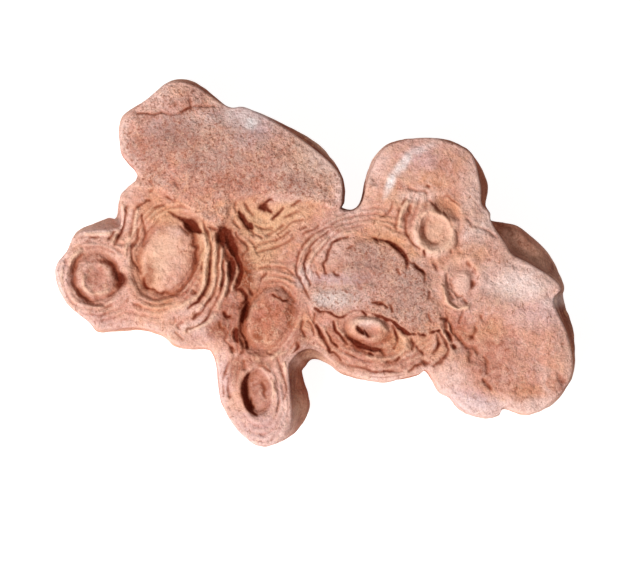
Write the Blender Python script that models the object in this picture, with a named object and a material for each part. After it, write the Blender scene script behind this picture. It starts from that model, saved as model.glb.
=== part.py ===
"""A slab of stromatolite: one piece of layered pink stone with ringed heads on its upper face.

The slab lies with its cut base at z = 0 and its weathered face up, +X to the right and +Y away.
The tables are in millimetres, in the slab's own plan, and the mesh is in metres.
"""

import math

import bpy
import numpy as np
from mathutils import Vector
from mathutils.geometry import delaunay_2d_cdt

MM = 0.001
FACE_HEIGHT = 38.0
WIDEST_SHARE = 0.5
BASE_TUCK = 4.5
EDGE_RADIUS = 2.2
SHOULDER_DROP = 1.7
SHOULDER_REACH = 6.0
NORMAL_BLUR = 5.0
RIM_STEP = 1.5
GRID_STEP = 1.15
BASE_STEP = 12.0
SPAN_STEPS = 16
EDGE_ROWS = 3
CLIFF_ROWS = 5
UNDER_ROWS = 5
TRIANGLES = 9200
BASE_SNAP = 0.02
LUMP_SIZE = 13.0
LUMP_HEIGHT = 0.55
WALL_LUMP = 0.8
LATTICE = 64
FAR = 1.0e9

# The widest line of the slab seen from above, clockwise, as (x, y, ledge). The ledge is how far the rim of the
# upper face stands inside the widest line.
OUTLINE = (
    (-71.2, 34.8, 2.0), (-76.8, 42.0, 2.0), (-78.4, 47.2, 2.0), (-76.8, 58.0, 2.0), (-67.2, 65.6, 2.0),
    (-58.0, 72.4, 2.0), (-48.0, 72.0, 2.4), (-34.4, 62.6, 1.6), (-26.0, 61.6, 1.6), (-4.0, 50.8, 2.8),
    (9.6, 36.4, 1.6), (11.2, 25.2, 1.6), (10.4, 22.0, 1.6), (15.2, 21.6, 1.6), (18.4, 25.2, 1.6),
    (20.4, 35.2, 2.0), (26.0, 45.6, 2.0), (32.8, 49.2, 2.0), (50.4, 50.0, 2.0), (62.4, 44.0, 2.0),
    (68.8, 32.0, 3.2), (68.0, 24.0, 2.8), (69.6, 20.4, 1.6), (70.4, 17.2, 2.0), (82.0, 14.4, 10.4),
    (92.8, 3.6, 7.6), (98.4, -8.8, 2.4), (98.6, -14.0, 4.0), (103.2, -26.8, 3.2), (102.8, -42.8, 2.0),
    (96.0, -54.4, 2.0), (84.8, -60.0, 1.6), (75.2, -57.6, 1.6), (73.2, -60.0, 1.6), (68.4, -61.2, 1.6),
    (62.0, -60.0, 1.6), (57.2, -57.2, 1.6), (53.6, -53.2, 1.6), (49.2, -50.8, 1.6), (44.0, -43.2, 1.6),
    (40.4, -44.8, 1.6), (26.0, -47.2, 1.6), (11.2, -44.0, 1.6), (6.0, -40.4, 1.6), (-0.8, -38.4, 2.8),
    (-4.8, -42.0, 4.4), (-5.6, -44.0, 4.8), (-3.2, -53.6, 6.4), (-3.6, -60.0, 5.6), (-9.6, -68.8, 2.8),
    (-20.8, -73.0, 1.6), (-30.8, -67.2, 1.6), (-37.6, -55.6, 1.6), (-39.2, -42.0, 1.6), (-40.8, -36.0, 1.6),
    (-43.2, -34.0, 1.6), (-50.0, -33.8, 1.6), (-56.0, -32.4, 1.6), (-60.0, -28.8, 1.6), (-70.0, -26.0, 1.6),
    (-80.0, -26.4, 1.6), (-87.2, -27.2, 1.6), (-90.0, -23.6, 1.6), (-98.8, -16.4, 1.6), (-103.6, -2.8, 1.6),
    (-99.2, 4.8, 1.6), (-96.8, 10.0, 1.6), (-92.8, 13.6, 2.0), (-83.6, 18.2, 4.8), (-80.0, 18.4, 3.6),
    (-78.0, 26.0, 1.6), (-75.2, 30.0, 1.6),
)

# Broad swells of the face: (x, y, reach along x, reach along y, height).
SWELLS = (
    (-28.0, 45.0, 36.0, 20.0, 3.6),
    (22.0, -11.0, 30.0, 26.0, 1.8),
    (44.0, 28.0, 22.0, 20.0, 1.4),
    (-88.0, -3.0, 22.0, 22.0, -3.0),
    (-23.0, -56.0, 24.0, 24.0, -4.0),
    (74.0, -34.0, 22.0, 18.0, -1.2),
    (-21.0, 18.0, 10.0, 6.0, -1.8),
    (69.0, -28.0, 9.0, 8.0, -0.8),
)

# Ringed heads: (x, y, half width, half length, turn in degrees, bearing of the deep side, how much deeper it is,
# and the profile as (share of the radius, height)).
HEADS = (
    (-86.4, -5.6, 9.6, 9.6, 0.0, 40.0, 0.35,
     ((0.0, -1.0), (0.35, -0.8), (0.58, 0.3), (0.75, -0.2), (0.9, -1.8), (1.0, -3.0), (1.12, -1.0), (1.25, 0.5),
      (1.45, 0.2), (1.7, 0.0))),
    (-58.4, 2.4, 10.8, 15.2, -25.0, 55.0, 0.45,
     ((0.0, 1.5), (0.5, 1.2), (0.8, 0.2), (0.95, -2.2), (1.05, -2.4), (1.2, -0.3), (1.35, 0.6), (1.55, 0.3),
      (1.8, 0.0))),
    (-23.2, -51.2, 5.8, 9.2, 8.0, 170.0, 0.3,
     ((0.0, -2.2), (0.5, -2.4), (0.8, -2.6), (0.95, -1.2), (1.08, 0.2), (1.25, 0.8), (1.5, 0.2), (1.8, 0.0))),
    (-18.8, -22.8, 8.8, 13.6, -18.0, 180.0, 0.4,
     ((0.0, 1.1), (0.6, 1.1), (0.85, 0.3), (1.0, -2.5), (1.15, -1.0), (1.3, 0.3), (1.5, 0.0))),
    (47.6, 12.8, 6.4, 7.6, 10.0, 180.0, 0.3,
     ((0.0, -1.6), (0.6, -1.5), (0.9, -0.8), (1.1, 0.5), (1.3, 0.6), (1.5, -0.2), (1.7, 0.0))),
    (51.6, 22.4, 6.4, 3.2, -40.0, 180.0, 0.0,
     ((0.0, -1.5), (0.7, -1.2), (1.0, -0.2), (1.2, 0.2), (1.5, 0.0))),
    (58.0, -8.0, 6.8, 9.6, -10.0, 20.0, 0.4,
     ((0.0, 0.6), (0.35, 0.2), (0.6, -1.4), (0.8, -0.9), (1.0, 0.5), (1.15, 0.5), (1.4, 0.0))),
    (21.0, -26.2, 7.4, 4.6, -8.0, 180.0, 0.0,
     ((0.0, -0.4), (0.3, -0.2), (0.62, 1.3), (0.85, 0.9), (1.15, -1.0), (1.45, 0.2), (1.8, 0.0))),
)

# Smooth plates that stand above the ringed stone round them: (height, width of their edge, corners).
PLATES = (
    (1.3, 1.1,
     ((-90.0, 40.0), (-74.0, 31.0), (-58.0, 27.2), (-46.0, 18.0), (-38.0, 13.0), (-35.0, 17.0), (-34.0, 26.0),
      (-28.0, 26.4), (-18.0, 27.0), (-14.0, 28.0), (-6.0, 25.0), (10.4, 21.2), (24.0, 30.0), (0.0, 70.0),
      (-50.0, 90.0), (-95.0, 75.0))),
    (1.3, 0.9,
     ((-1.0, -18.0), (3.0, -19.3), (6.8, -20.8), (10.4, -21.6), (14.0, -20.0), (20.0, -19.6), (26.0, -21.2),
      (30.8, -22.8), (34.8, -26.4), (38.0, -28.0), (42.8, -28.0), (48.8, -27.2), (50.0, -22.8), (47.2, -16.8),
      (45.2, -10.8), (43.6, -4.8), (38.0, -0.8), (34.0, 4.4), (29.2, 8.0), (22.8, 8.8), (16.0, 7.6), (12.0, 3.2),
      (10.8, -2.0), (4.0, -6.0), (-1.2, -10.8), (-1.6, -14.8))),
)

# Grooves between the laminae: (depth, half width, course).
GROOVES = (
    (2.6, 1.7, ((-58.8, 20.4), (-54.8, 18.4), (-50.4, 16.4), (-47.2, 12.8), (-46.4, 8.0), (-46.8, 3.2),
                (-48.8, -2.8), (-51.6, -8.0))),
    (1.8, 1.3, ((-69.2, -5.2), (-67.6, -8.4), (-66.0, -10.0), (-62.8, -11.2), (-58.8, -12.0))),
    (1.5, 1.4, ((-68.8, 19.6), (-69.6, 14.8), (-70.4, 10.0), (-72.8, 6.8), (-73.6, 2.0))),
    (2.0, 1.2, ((-43.6, 12.0), (-41.6, 7.6), (-41.2, 1.2), (-41.2, -4.8), (-42.8, -10.0), (-46.4, -14.8),
                (-50.4, -17.6))),
    (2.0, 1.2, ((-38.4, 11.6), (-38.0, 5.2), (-37.2, -2.0), (-37.2, -10.0), (-39.6, -14.8), (-42.8, -20.0))),
    (4.0, 1.8, ((-37.6, 12.8), (-35.6, 10.0), (-33.6, 6.0), (-32.4, 1.2), (-32.8, -4.8), (-34.4, -10.8),
                (-37.2, -16.0))),
    (2.6, 1.3, ((-29.6, 0.4), (-29.6, -4.4), (-31.2, -9.6), (-28.0, -12.0), (-27.2, -15.2))),
    (2.6, 1.4, ((-26.8, -16.0), (-28.4, -20.0), (-29.6, -24.4), (-29.2, -28.4), (-27.2, -31.2))),
    (1.5, 1.4, ((-23.6, -11.6), (-18.0, -8.4), (-12.8, -9.2), (-9.2, -14.0), (-8.4, -19.6), (-10.4, -25.2),
                (-13.6, -30.4))),
    (2.4, 1.4, ((-31.6, 22.0), (-29.6, 18.8), (-27.2, 15.6), (-25.2, 13.6), (-22.0, 11.2))),
    (2.4, 1.5, ((-18.0, 25.2), (-20.0, 23.6), (-22.0, 22.4), (-19.6, 21.2), (-17.6, 20.4))),
    (1.4, 1.3, ((-28.8, 12.0), (-23.2, 10.0), (-19.6, 10.4), (-15.2, 12.8), (-10.4, 16.4), (-4.8, 18.0),
                (0.4, 18.8))),
    (1.3, 1.3, ((-4.8, -13.6), (-6.4, -8.0), (-7.6, -2.8), (-7.2, 2.4), (-5.6, 6.4), (-2.4, 9.6), (2.0, 12.4),
                (7.6, 14.4))),
    (1.2, 1.2, ((4.8, -5.6), (3.2, -1.2), (4.0, 3.2), (6.4, 7.2), (10.4, 9.2), (17.2, 10.4))),
    (2.6, 1.7, ((20.4, 8.8), (25.6, 9.2), (30.0, 7.2), (34.0, 4.0), (36.4, 0.4), (40.0, -1.6), (44.0, -4.8))),
    (1.6, 1.2, ((-0.8, -18.0), (6.0, -19.2), (10.4, -21.6), (14.8, -20.0), (20.4, -19.6), (26.0, -21.2),
                (30.4, -22.8), (34.4, -26.4), (37.6, -28.0), (42.8, -28.0), (49.2, -26.8))),
    (3.0, 1.7, ((7.2, -22.8), (8.0, -26.8), (11.2, -30.0), (15.2, -32.0), (19.2, -33.6), (23.2, -34.0),
                (28.0, -34.8))),
    (1.5, 1.3, ((2.0, -24.0), (4.0, -28.0), (6.8, -31.6), (10.0, -34.6), (14.8, -37.4), (21.2, -39.2),
                (28.0, -39.6), (34.8, -38.6), (40.8, -35.6), (44.8, -31.6))),
    (1.6, 1.3, ((50.0, -21.6), (51.2, -25.2), (53.2, -28.8), (54.8, -33.2))),
    (1.3, 1.2, ((41.2, 6.4), (37.6, 9.6), (35.6, 14.0), (35.2, 18.8), (37.2, 22.4), (39.6, 24.0))),
    (1.2, 1.2, ((53.2, 19.2), (55.6, 14.8), (56.0, 10.0), (54.0, 5.2))),
    (1.2, 1.3, ((-93.2, 10.8), (-87.2, 10.4), (-82.4, 10.4), (-79.6, 13.2), (-78.8, 16.8))),
    (1.2, 1.3, ((-34.4, -43.6), (-34.8, -49.2), (-33.6, -54.8), (-30.8, -60.4))),
    (1.2, 1.3, ((-14.4, -38.8), (-12.4, -42.8), (-11.2, -47.6), (-11.6, -53.2), (-14.0, -58.8))),
    (1.2, 1.2, ((-70.4, 59.6), (-65.2, 58.8), (-60.4, 59.6), (-56.0, 59.2), (-52.0, 60.4), (-44.4, 62.4),
                (-40.0, 62.0))),
)


def clear_scene():
    for old in list(bpy.data.objects):
        bpy.data.objects.remove(old, do_unlink=True)


def closed_curve(knots, step):
    """Points every `step` along the closed Catmull-Rom curve through the knots; the ledge is carried with them."""
    here = np.array(knots)
    before = np.roll(here, 1, axis=0)
    after = np.roll(here, -1, axis=0)
    beyond = np.roll(here, -2, axis=0)
    t = (np.arange(SPAN_STEPS) / SPAN_STEPS)[:, None, None]
    slope = (after - before) * t
    bend = (2 * before - 5 * here + 4 * after - beyond) * t**2
    twist = (3 * here - before - 3 * after + beyond) * t**3
    fine = (here + 0.5 * (slope + bend + twist)).transpose(1, 0, 2).reshape(-1, 3)
    ring = np.vstack([fine, fine[:1]])
    spans = np.linalg.norm(np.diff(ring[:, :2], axis=0), axis=1)
    along = np.concatenate([[0.0], np.cumsum(spans)])
    count = round(along[-1] / step)
    stops = np.arange(count) * along[-1] / count
    return np.stack([np.interp(stops, along, column) for column in ring.T], axis=1)


def blurred(values, width):
    """Each column of values round a closed loop, smoothed by a Gaussian `width` samples wide."""
    pitch = np.fft.fftfreq(len(values))[:, None]
    weight = np.exp(-2.0 * (math.pi * pitch * width) ** 2)
    return np.real(np.fft.ifft(np.fft.fft(values, axis=0) * weight, axis=0))


def inward_normals(loop, step):
    """The direction into the stone at each point of a clockwise loop, smoothed along it."""
    along = np.roll(loop, -1, axis=0) - np.roll(loop, 1, axis=0)
    normals = blurred(np.stack([along[:, 1], -along[:, 0]], axis=1), NORMAL_BLUR / step)
    return normals / np.linalg.norm(normals, axis=1, keepdims=True)


def lattice_noise(x, y, size, seed):
    """Smooth noise between -1 and 1: values on a square lattice, blended with the 3t^2 - 2t^3 step."""
    table = np.random.default_rng(seed).uniform(-1.0, 1.0, (LATTICE, LATTICE))
    u, v = x / size, y / size
    column, row = np.floor(u).astype(int), np.floor(v).astype(int)
    s, t = u - column, v - row
    s, t = s * s * (3 - 2 * s), t * t * (3 - 2 * t)
    near, far = column % LATTICE, (column + 1) % LATTICE
    low, high = row % LATTICE, (row + 1) % LATTICE
    bottom = table[near, low] * (1 - s) + table[far, low] * s
    top = table[near, high] * (1 - s) + table[far, high] * s
    return bottom * (1 - t) + top * t


def distance_to_course(x, y, course, closed=False):
    """The distance from each point to a broken line."""
    points = np.array(course)
    ends = np.roll(points, -1, axis=0) if closed else points[1:]
    nearest = np.full(x.shape, FAR)
    for (ax, ay), (bx, by) in zip(points, ends):
        length = (bx - ax) ** 2 + (by - ay) ** 2
        share = np.clip(((x - ax) * (bx - ax) + (y - ay) * (by - ay)) / length, 0.0, 1.0)
        gap = np.hypot(x - ax - share * (bx - ax), y - ay - share * (by - ay))
        nearest = np.minimum(nearest, gap)
    return nearest


def inside(x, y, corners):
    """True for each point inside the polygon, by counting the sides that a ray to +X crosses."""
    points = np.array(corners)
    crossed = np.zeros(x.shape, bool)
    for (ax, ay), (bx, by) in zip(points, np.roll(points, -1, axis=0)):
        if ay == by:
            continue
        level = (ay > y) != (by > y)
        crossed ^= level & (x < ax + (y - ay) * (bx - ax) / (by - ay))
    return crossed


def swell_height(x, y):
    height = np.zeros(x.shape)
    for cx, cy, reach_x, reach_y, rise in SWELLS:
        height += rise * np.exp(-(((x - cx) / reach_x) ** 2 + ((y - cy) / reach_y) ** 2))
    return height


def head_height(x, y):
    """The sum of the heads: each is its profile, read by the share of its ellipse's radius."""
    height = np.zeros(x.shape)
    for cx, cy, half_width, half_length, turn, deep_side, deeper, profile in HEADS:
        angle = math.radians(turn)
        across = (x - cx) * math.cos(angle) + (y - cy) * math.sin(angle)
        along = (y - cy) * math.cos(angle) - (x - cx) * math.sin(angle)
        share = np.hypot(across / half_width, along / half_length)
        rows = np.array(profile)
        rise = np.interp(share, rows[:, 0], rows[:, 1])
        facing = np.cos(np.arctan2(y - cy, x - cx) - math.radians(deep_side))
        height += np.where(rise < 0, rise * (1 + deeper * facing), rise)
    return height


def plate_height(x, y):
    """Each plate stands full height inside its outline and ends in a short slope."""
    height = np.zeros(x.shape)
    for rise, edge, corners in PLATES:
        gap = distance_to_course(x, y, corners, closed=True)
        signed = np.where(inside(x, y, corners), gap, -gap)
        ramp = np.clip(0.5 + signed / (2 * edge), 0.0, 1.0)
        height += rise * ramp * ramp * (3 - 2 * ramp)
    return height


def groove_height(x, y):
    """The deepest groove at each point: a bell section across the course."""
    height = np.zeros(x.shape)
    for depth, half_width, course in GROOVES:
        gap = distance_to_course(x, y, course)
        height = np.minimum(height, -depth * np.exp(-((gap / half_width) ** 2)))
    return height


def face_height(x, y, from_rim):
    """The height of the weathered face at plan points that lie `from_rim` inside its edge."""
    height = FACE_HEIGHT + swell_height(x, y) + head_height(x, y) + plate_height(x, y) + groove_height(x, y)
    height += LUMP_HEIGHT * lattice_noise(x, y, LUMP_SIZE, 3)
    return height - SHOULDER_DROP * np.exp(-from_rim / SHOULDER_REACH)


def grid_inside(loop, step):
    """Staggered grid points inside the loop and clear of it, with their distance from it."""
    low, high = loop.min(axis=0), loop.max(axis=0)
    rise = step * math.sqrt(0.75)
    x, y = np.meshgrid(np.arange(low[0], high[0], step), np.arange(low[1], high[1], rise))
    x = (x + 0.5 * step * (np.arange(len(x)) % 2)[:, None]).ravel()
    y = y.ravel()
    kept = inside(x, y, loop)
    points = np.stack([x[kept], y[kept]], axis=1)
    gap = distance_to_course(points[:, 0], points[:, 1], loop, closed=True)
    clear = gap > 0.6 * step
    return points[clear], gap[clear]


def sheet_faces(loop, points):
    """Triangles, facing up, of the loop and the points inside it, numbered loop first."""
    plan = [Vector(p) for p in np.vstack([loop, points]).tolist()]
    edges = [(i, (i + 1) % len(loop)) for i in range(len(loop))]
    vertices, _, faces, _, _, _ = delaunay_2d_cdt(plan, edges, [], 1, 1.0e-7)
    if len(vertices) != len(plan):
        raise ValueError("the rim crosses itself")
    corners = np.array(faces)
    a, b, c = (np.array(plan)[corners[:, k]] for k in range(3))
    turn = (b[:, 0] - a[:, 0]) * (c[:, 1] - a[:, 1]) - (b[:, 1] - a[:, 1]) * (c[:, 0] - a[:, 0])
    return np.where((turn > 0)[:, None], corners, corners[:, ::-1])


def wall_rows(top, ledge):
    """The wall's rows from the face to the base as (inset from the widest line, height), one value a station.

    The worn edge is a quarter circle. Below it the cliff drops first and then runs out to the widest line, and
    the underside tucks in as the square of the way down.
    """
    rows = []
    for k in range(1, EDGE_ROWS + 1):
        angle = 0.5 * math.pi * k / EDGE_ROWS
        rows.append((ledge + EDGE_RADIUS * (1 - math.sin(angle)), top - EDGE_RADIUS * (1 - math.cos(angle))))
    foot = top - EDGE_RADIUS
    widest = WIDEST_SHARE * top
    for k in range(1, CLIFF_ROWS + 1):
        share = k / CLIFF_ROWS
        rows.append((ledge * (1 - share**2 * (3 - 2 * share)), foot + (widest - foot) * share))
    for k in range(1, UNDER_ROWS + 1):
        share = k / UNDER_ROWS
        rows.append((BASE_TUCK * share**2, widest * (1 - share)))
    return rows


def slab_surface():
    """Vertices and triangles of the whole slab: the face, the wall round it and the flat base."""
    curve = closed_curve(OUTLINE, RIM_STEP)
    outline, ledge = curve[:, :2], curve[:, 2]
    normals = inward_normals(outline, RIM_STEP)
    rim = outline + (ledge + EDGE_RADIUS)[:, None] * normals
    points, gap = grid_inside(rim, GRID_STEP)
    rim_top = face_height(rim[:, 0], rim[:, 1], np.zeros(len(rim)))
    face_top = face_height(points[:, 0], points[:, 1], gap)
    levels = [np.column_stack([rim, rim_top]), np.column_stack([points, face_top])]
    triangles = [sheet_faces(rim, points)]
    count = len(rim)
    station = np.arange(count)
    above = station
    first = count + len(points)
    for inset, height in wall_rows(rim_top, ledge):
        lump = WALL_LUMP * lattice_noise(station * RIM_STEP, height, LUMP_SIZE, 5)
        shift = inset + lump * np.sin(math.pi * np.clip(height / rim_top, 0.0, 1.0))
        levels.append(np.column_stack([outline + shift[:, None] * normals, height]))
        below = first + station
        triangles.append(np.stack([above, np.roll(above, -1), below], axis=1))
        triangles.append(np.stack([np.roll(above, -1), np.roll(below, -1), below], axis=1))
        above = below
        first += count
    base = levels[-1][:, :2]
    inner, _ = grid_inside(base, BASE_STEP)
    levels.append(np.column_stack([inner, np.zeros(len(inner))]))
    numbers = np.concatenate([above, first + np.arange(len(inner))])
    triangles.append(numbers[sheet_faces(base, inner)][:, ::-1])
    return np.round(np.vstack(levels), 3), np.vstack(triangles)


def thinned(slab, triangles):
    """The slab's mesh collapsed to about this many triangles, with its base set back to z = 0 exactly."""
    thin = slab.modifiers.new("Thin", "DECIMATE")
    thin.ratio = triangles / len(slab.data.polygons)
    graph = bpy.context.evaluated_depsgraph_get()
    mesh = bpy.data.meshes.new_from_object(slab.evaluated_get(graph))
    slab.modifiers.remove(thin)
    co = np.empty(3 * len(mesh.vertices))
    mesh.vertices.foreach_get("co", co)
    co = co.reshape(-1, 3)
    middle = 0.5 * (co.min(axis=0) + co.max(axis=0))
    co[:, :2] -= middle[:2]
    co[co[:, 2] < BASE_SNAP * MM, 2] = 0.0
    mesh.vertices.foreach_set("co", co.ravel())
    mesh.update()
    return mesh


def stone_material():
    material = bpy.data.materials.new("stone")
    material.use_nodes = True
    shader = material.node_tree.nodes["Principled BSDF"]
    shader.inputs["Base Color"].default_value = (0.58, 0.30, 0.225, 1.0)
    shader.inputs["Roughness"].default_value = 0.88
    shader.inputs["Metallic"].default_value = 0.0
    return material


def stromatolite():
    vertices, triangles = slab_surface()
    mesh = bpy.data.meshes.new("stromatolite")
    mesh.from_pydata((vertices * MM).tolist(), [], triangles.tolist())
    slab = bpy.data.objects.new("stromatolite", mesh)
    bpy.context.collection.objects.link(slab)
    bpy.context.view_layer.update()
    slab.data = thinned(slab, TRIANGLES)
    slab.data.name = "stromatolite"
    slab.data.materials.append(stone_material())
    slab.data.shade_smooth()
    return slab


clear_scene()
stromatolite()
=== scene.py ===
"""The dressed slab of stromatolite: its weathered face, its bedded wall, its stone, and a plain stage.

The tables are in millimetres, in the slab's own plan: +X to the right, +Y away, and +Z up from the cut
base. The mesh is in metres.
"""

import math

import bpy
import numpy as np
from bpy.props import FloatProperty, FloatVectorProperty, PointerProperty
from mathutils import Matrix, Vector
from mathutils.geometry import delaunay_2d_cdt


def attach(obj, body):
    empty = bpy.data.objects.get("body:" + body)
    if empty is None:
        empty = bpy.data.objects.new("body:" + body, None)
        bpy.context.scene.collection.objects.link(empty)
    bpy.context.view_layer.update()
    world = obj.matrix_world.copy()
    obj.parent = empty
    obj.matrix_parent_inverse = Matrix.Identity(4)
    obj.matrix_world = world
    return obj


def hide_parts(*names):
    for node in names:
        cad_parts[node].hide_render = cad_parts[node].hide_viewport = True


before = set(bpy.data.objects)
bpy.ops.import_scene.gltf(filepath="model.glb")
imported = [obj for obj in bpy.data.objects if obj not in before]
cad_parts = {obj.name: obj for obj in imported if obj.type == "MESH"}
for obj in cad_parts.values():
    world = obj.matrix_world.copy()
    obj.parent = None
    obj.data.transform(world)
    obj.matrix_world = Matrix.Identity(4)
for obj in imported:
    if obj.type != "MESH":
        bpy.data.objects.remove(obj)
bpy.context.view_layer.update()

bl_info = {
    "name": "Stromatolite slab",
    "version": (1, 0, 0),
    "blender": (4, 5, 0),
    "location": "3D View > Sidebar > Stromatolite",
    "description": "Makes a slab of stromatolite with ringed heads on its face, and a plain stage for it",
    "category": "Add Mesh",
}

MM = 0.001
NODE = "stromatolite"
BODY = "root"
FAR = 1.0e9
LATTICE = 64

# Curves: the steps of a span of the outline and of a stroke, and the blur of the outline's normals.
SPAN_STEPS = 16
STROKE_STEPS = 4
NORMAL_BLUR = 5.0

# How a head's profile is read and worn, in shares of its radius.
PROFILE_STEP = 0.01
PROFILE_BLUR = 0.045

# Strokes: how far their painted shade reaches, the steepest side that is cut, the width and the reach of
# their bell in half widths, and the depths at which the painted shade beside a stroke and in its hollow are
# full.
STROKE_SHADE = 1.0
STEEPEST = 1.25
BELL_WIDTH = 1.2
BELL_REACH = 1.8
SHADE_DEPTH = 2.4
HOLLOW_DEPTH = 3.6

# How deep a head's moat is where its orange-brown, partly painted shade, is full, and how deep a sunk spot
# is where its painted shade is full.
MOAT_DEPTH = 2.4
SUNK_SHADE_DEPTH = 2.0

# Laminae: how softly the heads' rings join, between which distances outside a head they set in and fade
# out, the share that a stroke clears, and how strong they are, with the strongest.
SOFT_UNION = 2.2
LAMINA_START = (-1.2, 0.8)
LAMINA_FADE = (6.0, 13.0)
LAMINA_CLEARED = 0.75
LAMINA_STRENGTH = 0.66
LAMINA_STRONGEST = 1.2

# Between which shares of its ellipse a worn patch ends.
WORN_EDGE = (0.8, 1.2)

# The mesh: how far its fine part goes round a stroke, how clear of the rim its points stay, in steps, how
# near two points become one, the rows of the wall's edge, cliff and underside, and the step of the base.
FINE_REACH = 0.75
RIM_CLEARANCE = 0.6
MERGE_DISTANCE = 1.0e-7
EDGE_ROWS = 5
CLIFF_ROWS = 14
UNDER_ROWS = 12
BASE_STEP = 2.3

# How far from a point the height is compared, for the fine relief, which steers painted shade and painted
# highlight, and for the sunk spots, which are painted in shade.
RELIEF_REACH = 1.3
SUNK_SHADE_REACH = 3.6

# Between which shares of its drop a plain cliff runs out, and how fast the wall's lumps fade at its ends.
CLIFF_RUN = (0.1, 0.9)
WALL_FADE = 0.7

# A ledge wider than SHELF_FROM carries a shelf: its profile as shares of the rows, of the way out and of
# the drop, and where along the way out its lumps lie.
SHELF_FROM = 5.0
SHELF_OVER = 4.0
SHELF_ROWS = (0.0, 0.25, 0.8, 1.0)
SHELF_OUT = (0.0, 0.14, 0.84, 1.0)
SHELF_DOWN = (0.0, 0.25, 0.46, 1.0)
SHELF_MIDDLE = 0.5
SHELF_SPREAD = 0.32

# What the wall shows: its beds, darker where worn in and paler where they stand out as painted shade and
# highlight, the pale rim on the face and down the wall, partly wear and partly painted light, and the
# painted shade of the side turned from the key light, which is full SHADED_SIDE_EDGE down, falls to the
# share
# SHADED_SIDE_LEAST, and lies lighter on a shelf.
RING_CARRIED = 0.35
BED_PITCH = 2.6
BED_STRENGTH = 0.5
BED_REACH = 12.0
BED_RELIEF = -1.2
RIM_PALE_REACH = 3.5
RIM_PALE_DOWN = 12.0
SHADED_SIDE_EDGE = 1.5
SHADED_SIDE_LEAST = 0.6
SHADED_SIDE_REACH = 9.0
SHADED_SIDE_OFF_SHELF = 0.9

# The drops where the wall's colour starts and is full: on the open sides, and on the shaded side, where it
# starts just under the rim as part of the painted shade.
WALL_OPEN = (9.5, 19.5)
WALL_SHADED_SIDE = (0.5, 3.5)

# Layers of noise, each (size, rise, seed): the lumps of the face, the wander of its courses along x and
# y, that of the rings, the laminae's patches, a stroke's depth, width and shift, and the shelf's lumps.
LUMPS = ((13.0, 0.55, 3), (5.5, 0.30, 11), (2.6, 0.24, 12), (1.4, 0.14, 13))
WANDER_X = ((7.0, 0.45, 31), (2.8, 0.22, 33))
WANDER_Y = ((7.0, 0.45, 32), (2.8, 0.22, 34))
RING_WANDER = ((11.0, 1.1, 21), (4.5, 0.45, 22))
LAMINA_PATCHES = ((7.5, 0.6, 61), (3.0, 0.25, 62))
STROKE_WORN = ((4.2, 0.22, 51), (1.7, 0.14, 52))
STROKE_RAGGED = ((2.3, 0.2, 53),)
STROKE_SHIFT = ((1.4, 0.13, 54),)
SHELF_LUMPS = ((4.0, 0.9, 51), (1.9, 0.45, 52))
# Lumps and beds of the wall: (size along it, size up it, depth, seed).
WALL_LUMPS = ((13.0, 13.0, 0.8, 5), (34.0, 3.4, 0.45, 41), (9.0, 1.9, 0.22, 42), (2.6, 2.6, 0.16, 43))

# The widest line of the slab seen from above, clockwise, as (x, y, ledge). The ledge is how far the rim
# of the upper face stands inside the widest line.
OUTLINE = (
    (-71.2, 34.8, 0.9), (-76.8, 42.0, 0.9), (-78.4, 47.2, 0.9), (-76.8, 58.0, 0.9), (-67.2, 65.6, 0.9),
    (-58.0, 72.4, 0.9), (-48.0, 72.0, 1.5), (-34.4, 62.6, 0.5), (-26.0, 61.6, 0.5), (-4.0, 50.8, 2.2),
    (9.6, 36.4, 0.5), (11.2, 25.2, 0.5), (10.4, 22.0, 0.5), (15.2, 21.6, 0.5), (18.4, 25.2, 0.5),
    (20.4, 35.2, 0.9), (26.0, 45.6, 0.9), (33.6, 49.4, 0.9), (42.4, 50.6, 0.9), (51.2, 49.6, 0.9),
    (62.4, 44.0, 0.9), (68.8, 32.0, 3.6), (68.0, 24.0, 2.2), (69.6, 20.4, 0.5), (70.4, 17.2, 0.9),
    (82.0, 14.4, 10.8), (92.8, 3.6, 8.0), (98.4, -8.8, 1.5), (98.6, -14.0, 4.4), (103.2, -26.8, 3.6),
    (102.8, -42.8, 0.9), (96.0, -54.4, 0.9), (84.8, -60.0, 0.5), (75.2, -57.6, 0.5), (73.2, -60.0, 0.5),
    (68.4, -61.2, 0.5), (62.0, -60.0, 0.5), (57.2, -57.2, 0.5), (53.6, -53.2, 0.5), (49.2, -50.8, 0.5),
    (44.0, -43.2, 0.5), (40.4, -44.8, 0.5), (26.0, -47.2, 0.5), (11.2, -44.0, 0.5), (6.0, -40.4, 1.1),
    (-0.8, -38.4, 4.6), (-4.3, -41.8, 6.2), (-4.9, -44.0, 5.6), (-2.8, -53.2, 6.8), (-3.6, -60.0, 6.0),
    (-9.6, -68.8, 2.2), (-20.8, -73.0, 0.5), (-30.8, -67.2, 0.5), (-37.6, -55.6, 0.5),
    (-39.2, -42.0, 0.5), (-40.8, -36.0, 0.5), (-43.2, -34.0, 0.5), (-50.0, -33.8, 0.5),
    (-56.0, -32.4, 0.5), (-60.0, -28.8, 0.5), (-70.0, -26.0, 0.5), (-80.0, -26.4, 0.5),
    (-86.6, -26.5, 0.5), (-90.0, -23.6, 0.5), (-98.8, -16.4, 0.5), (-103.6, -2.8, 0.5), (-99.2, 4.8, 0.5),
    (-96.8, 10.0, 0.5), (-92.8, 13.6, 0.9), (-83.6, 18.2, 5.2), (-80.0, 18.4, 4.0), (-78.0, 26.0, 0.5),
    (-75.2, 30.0, 0.5),
)

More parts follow.
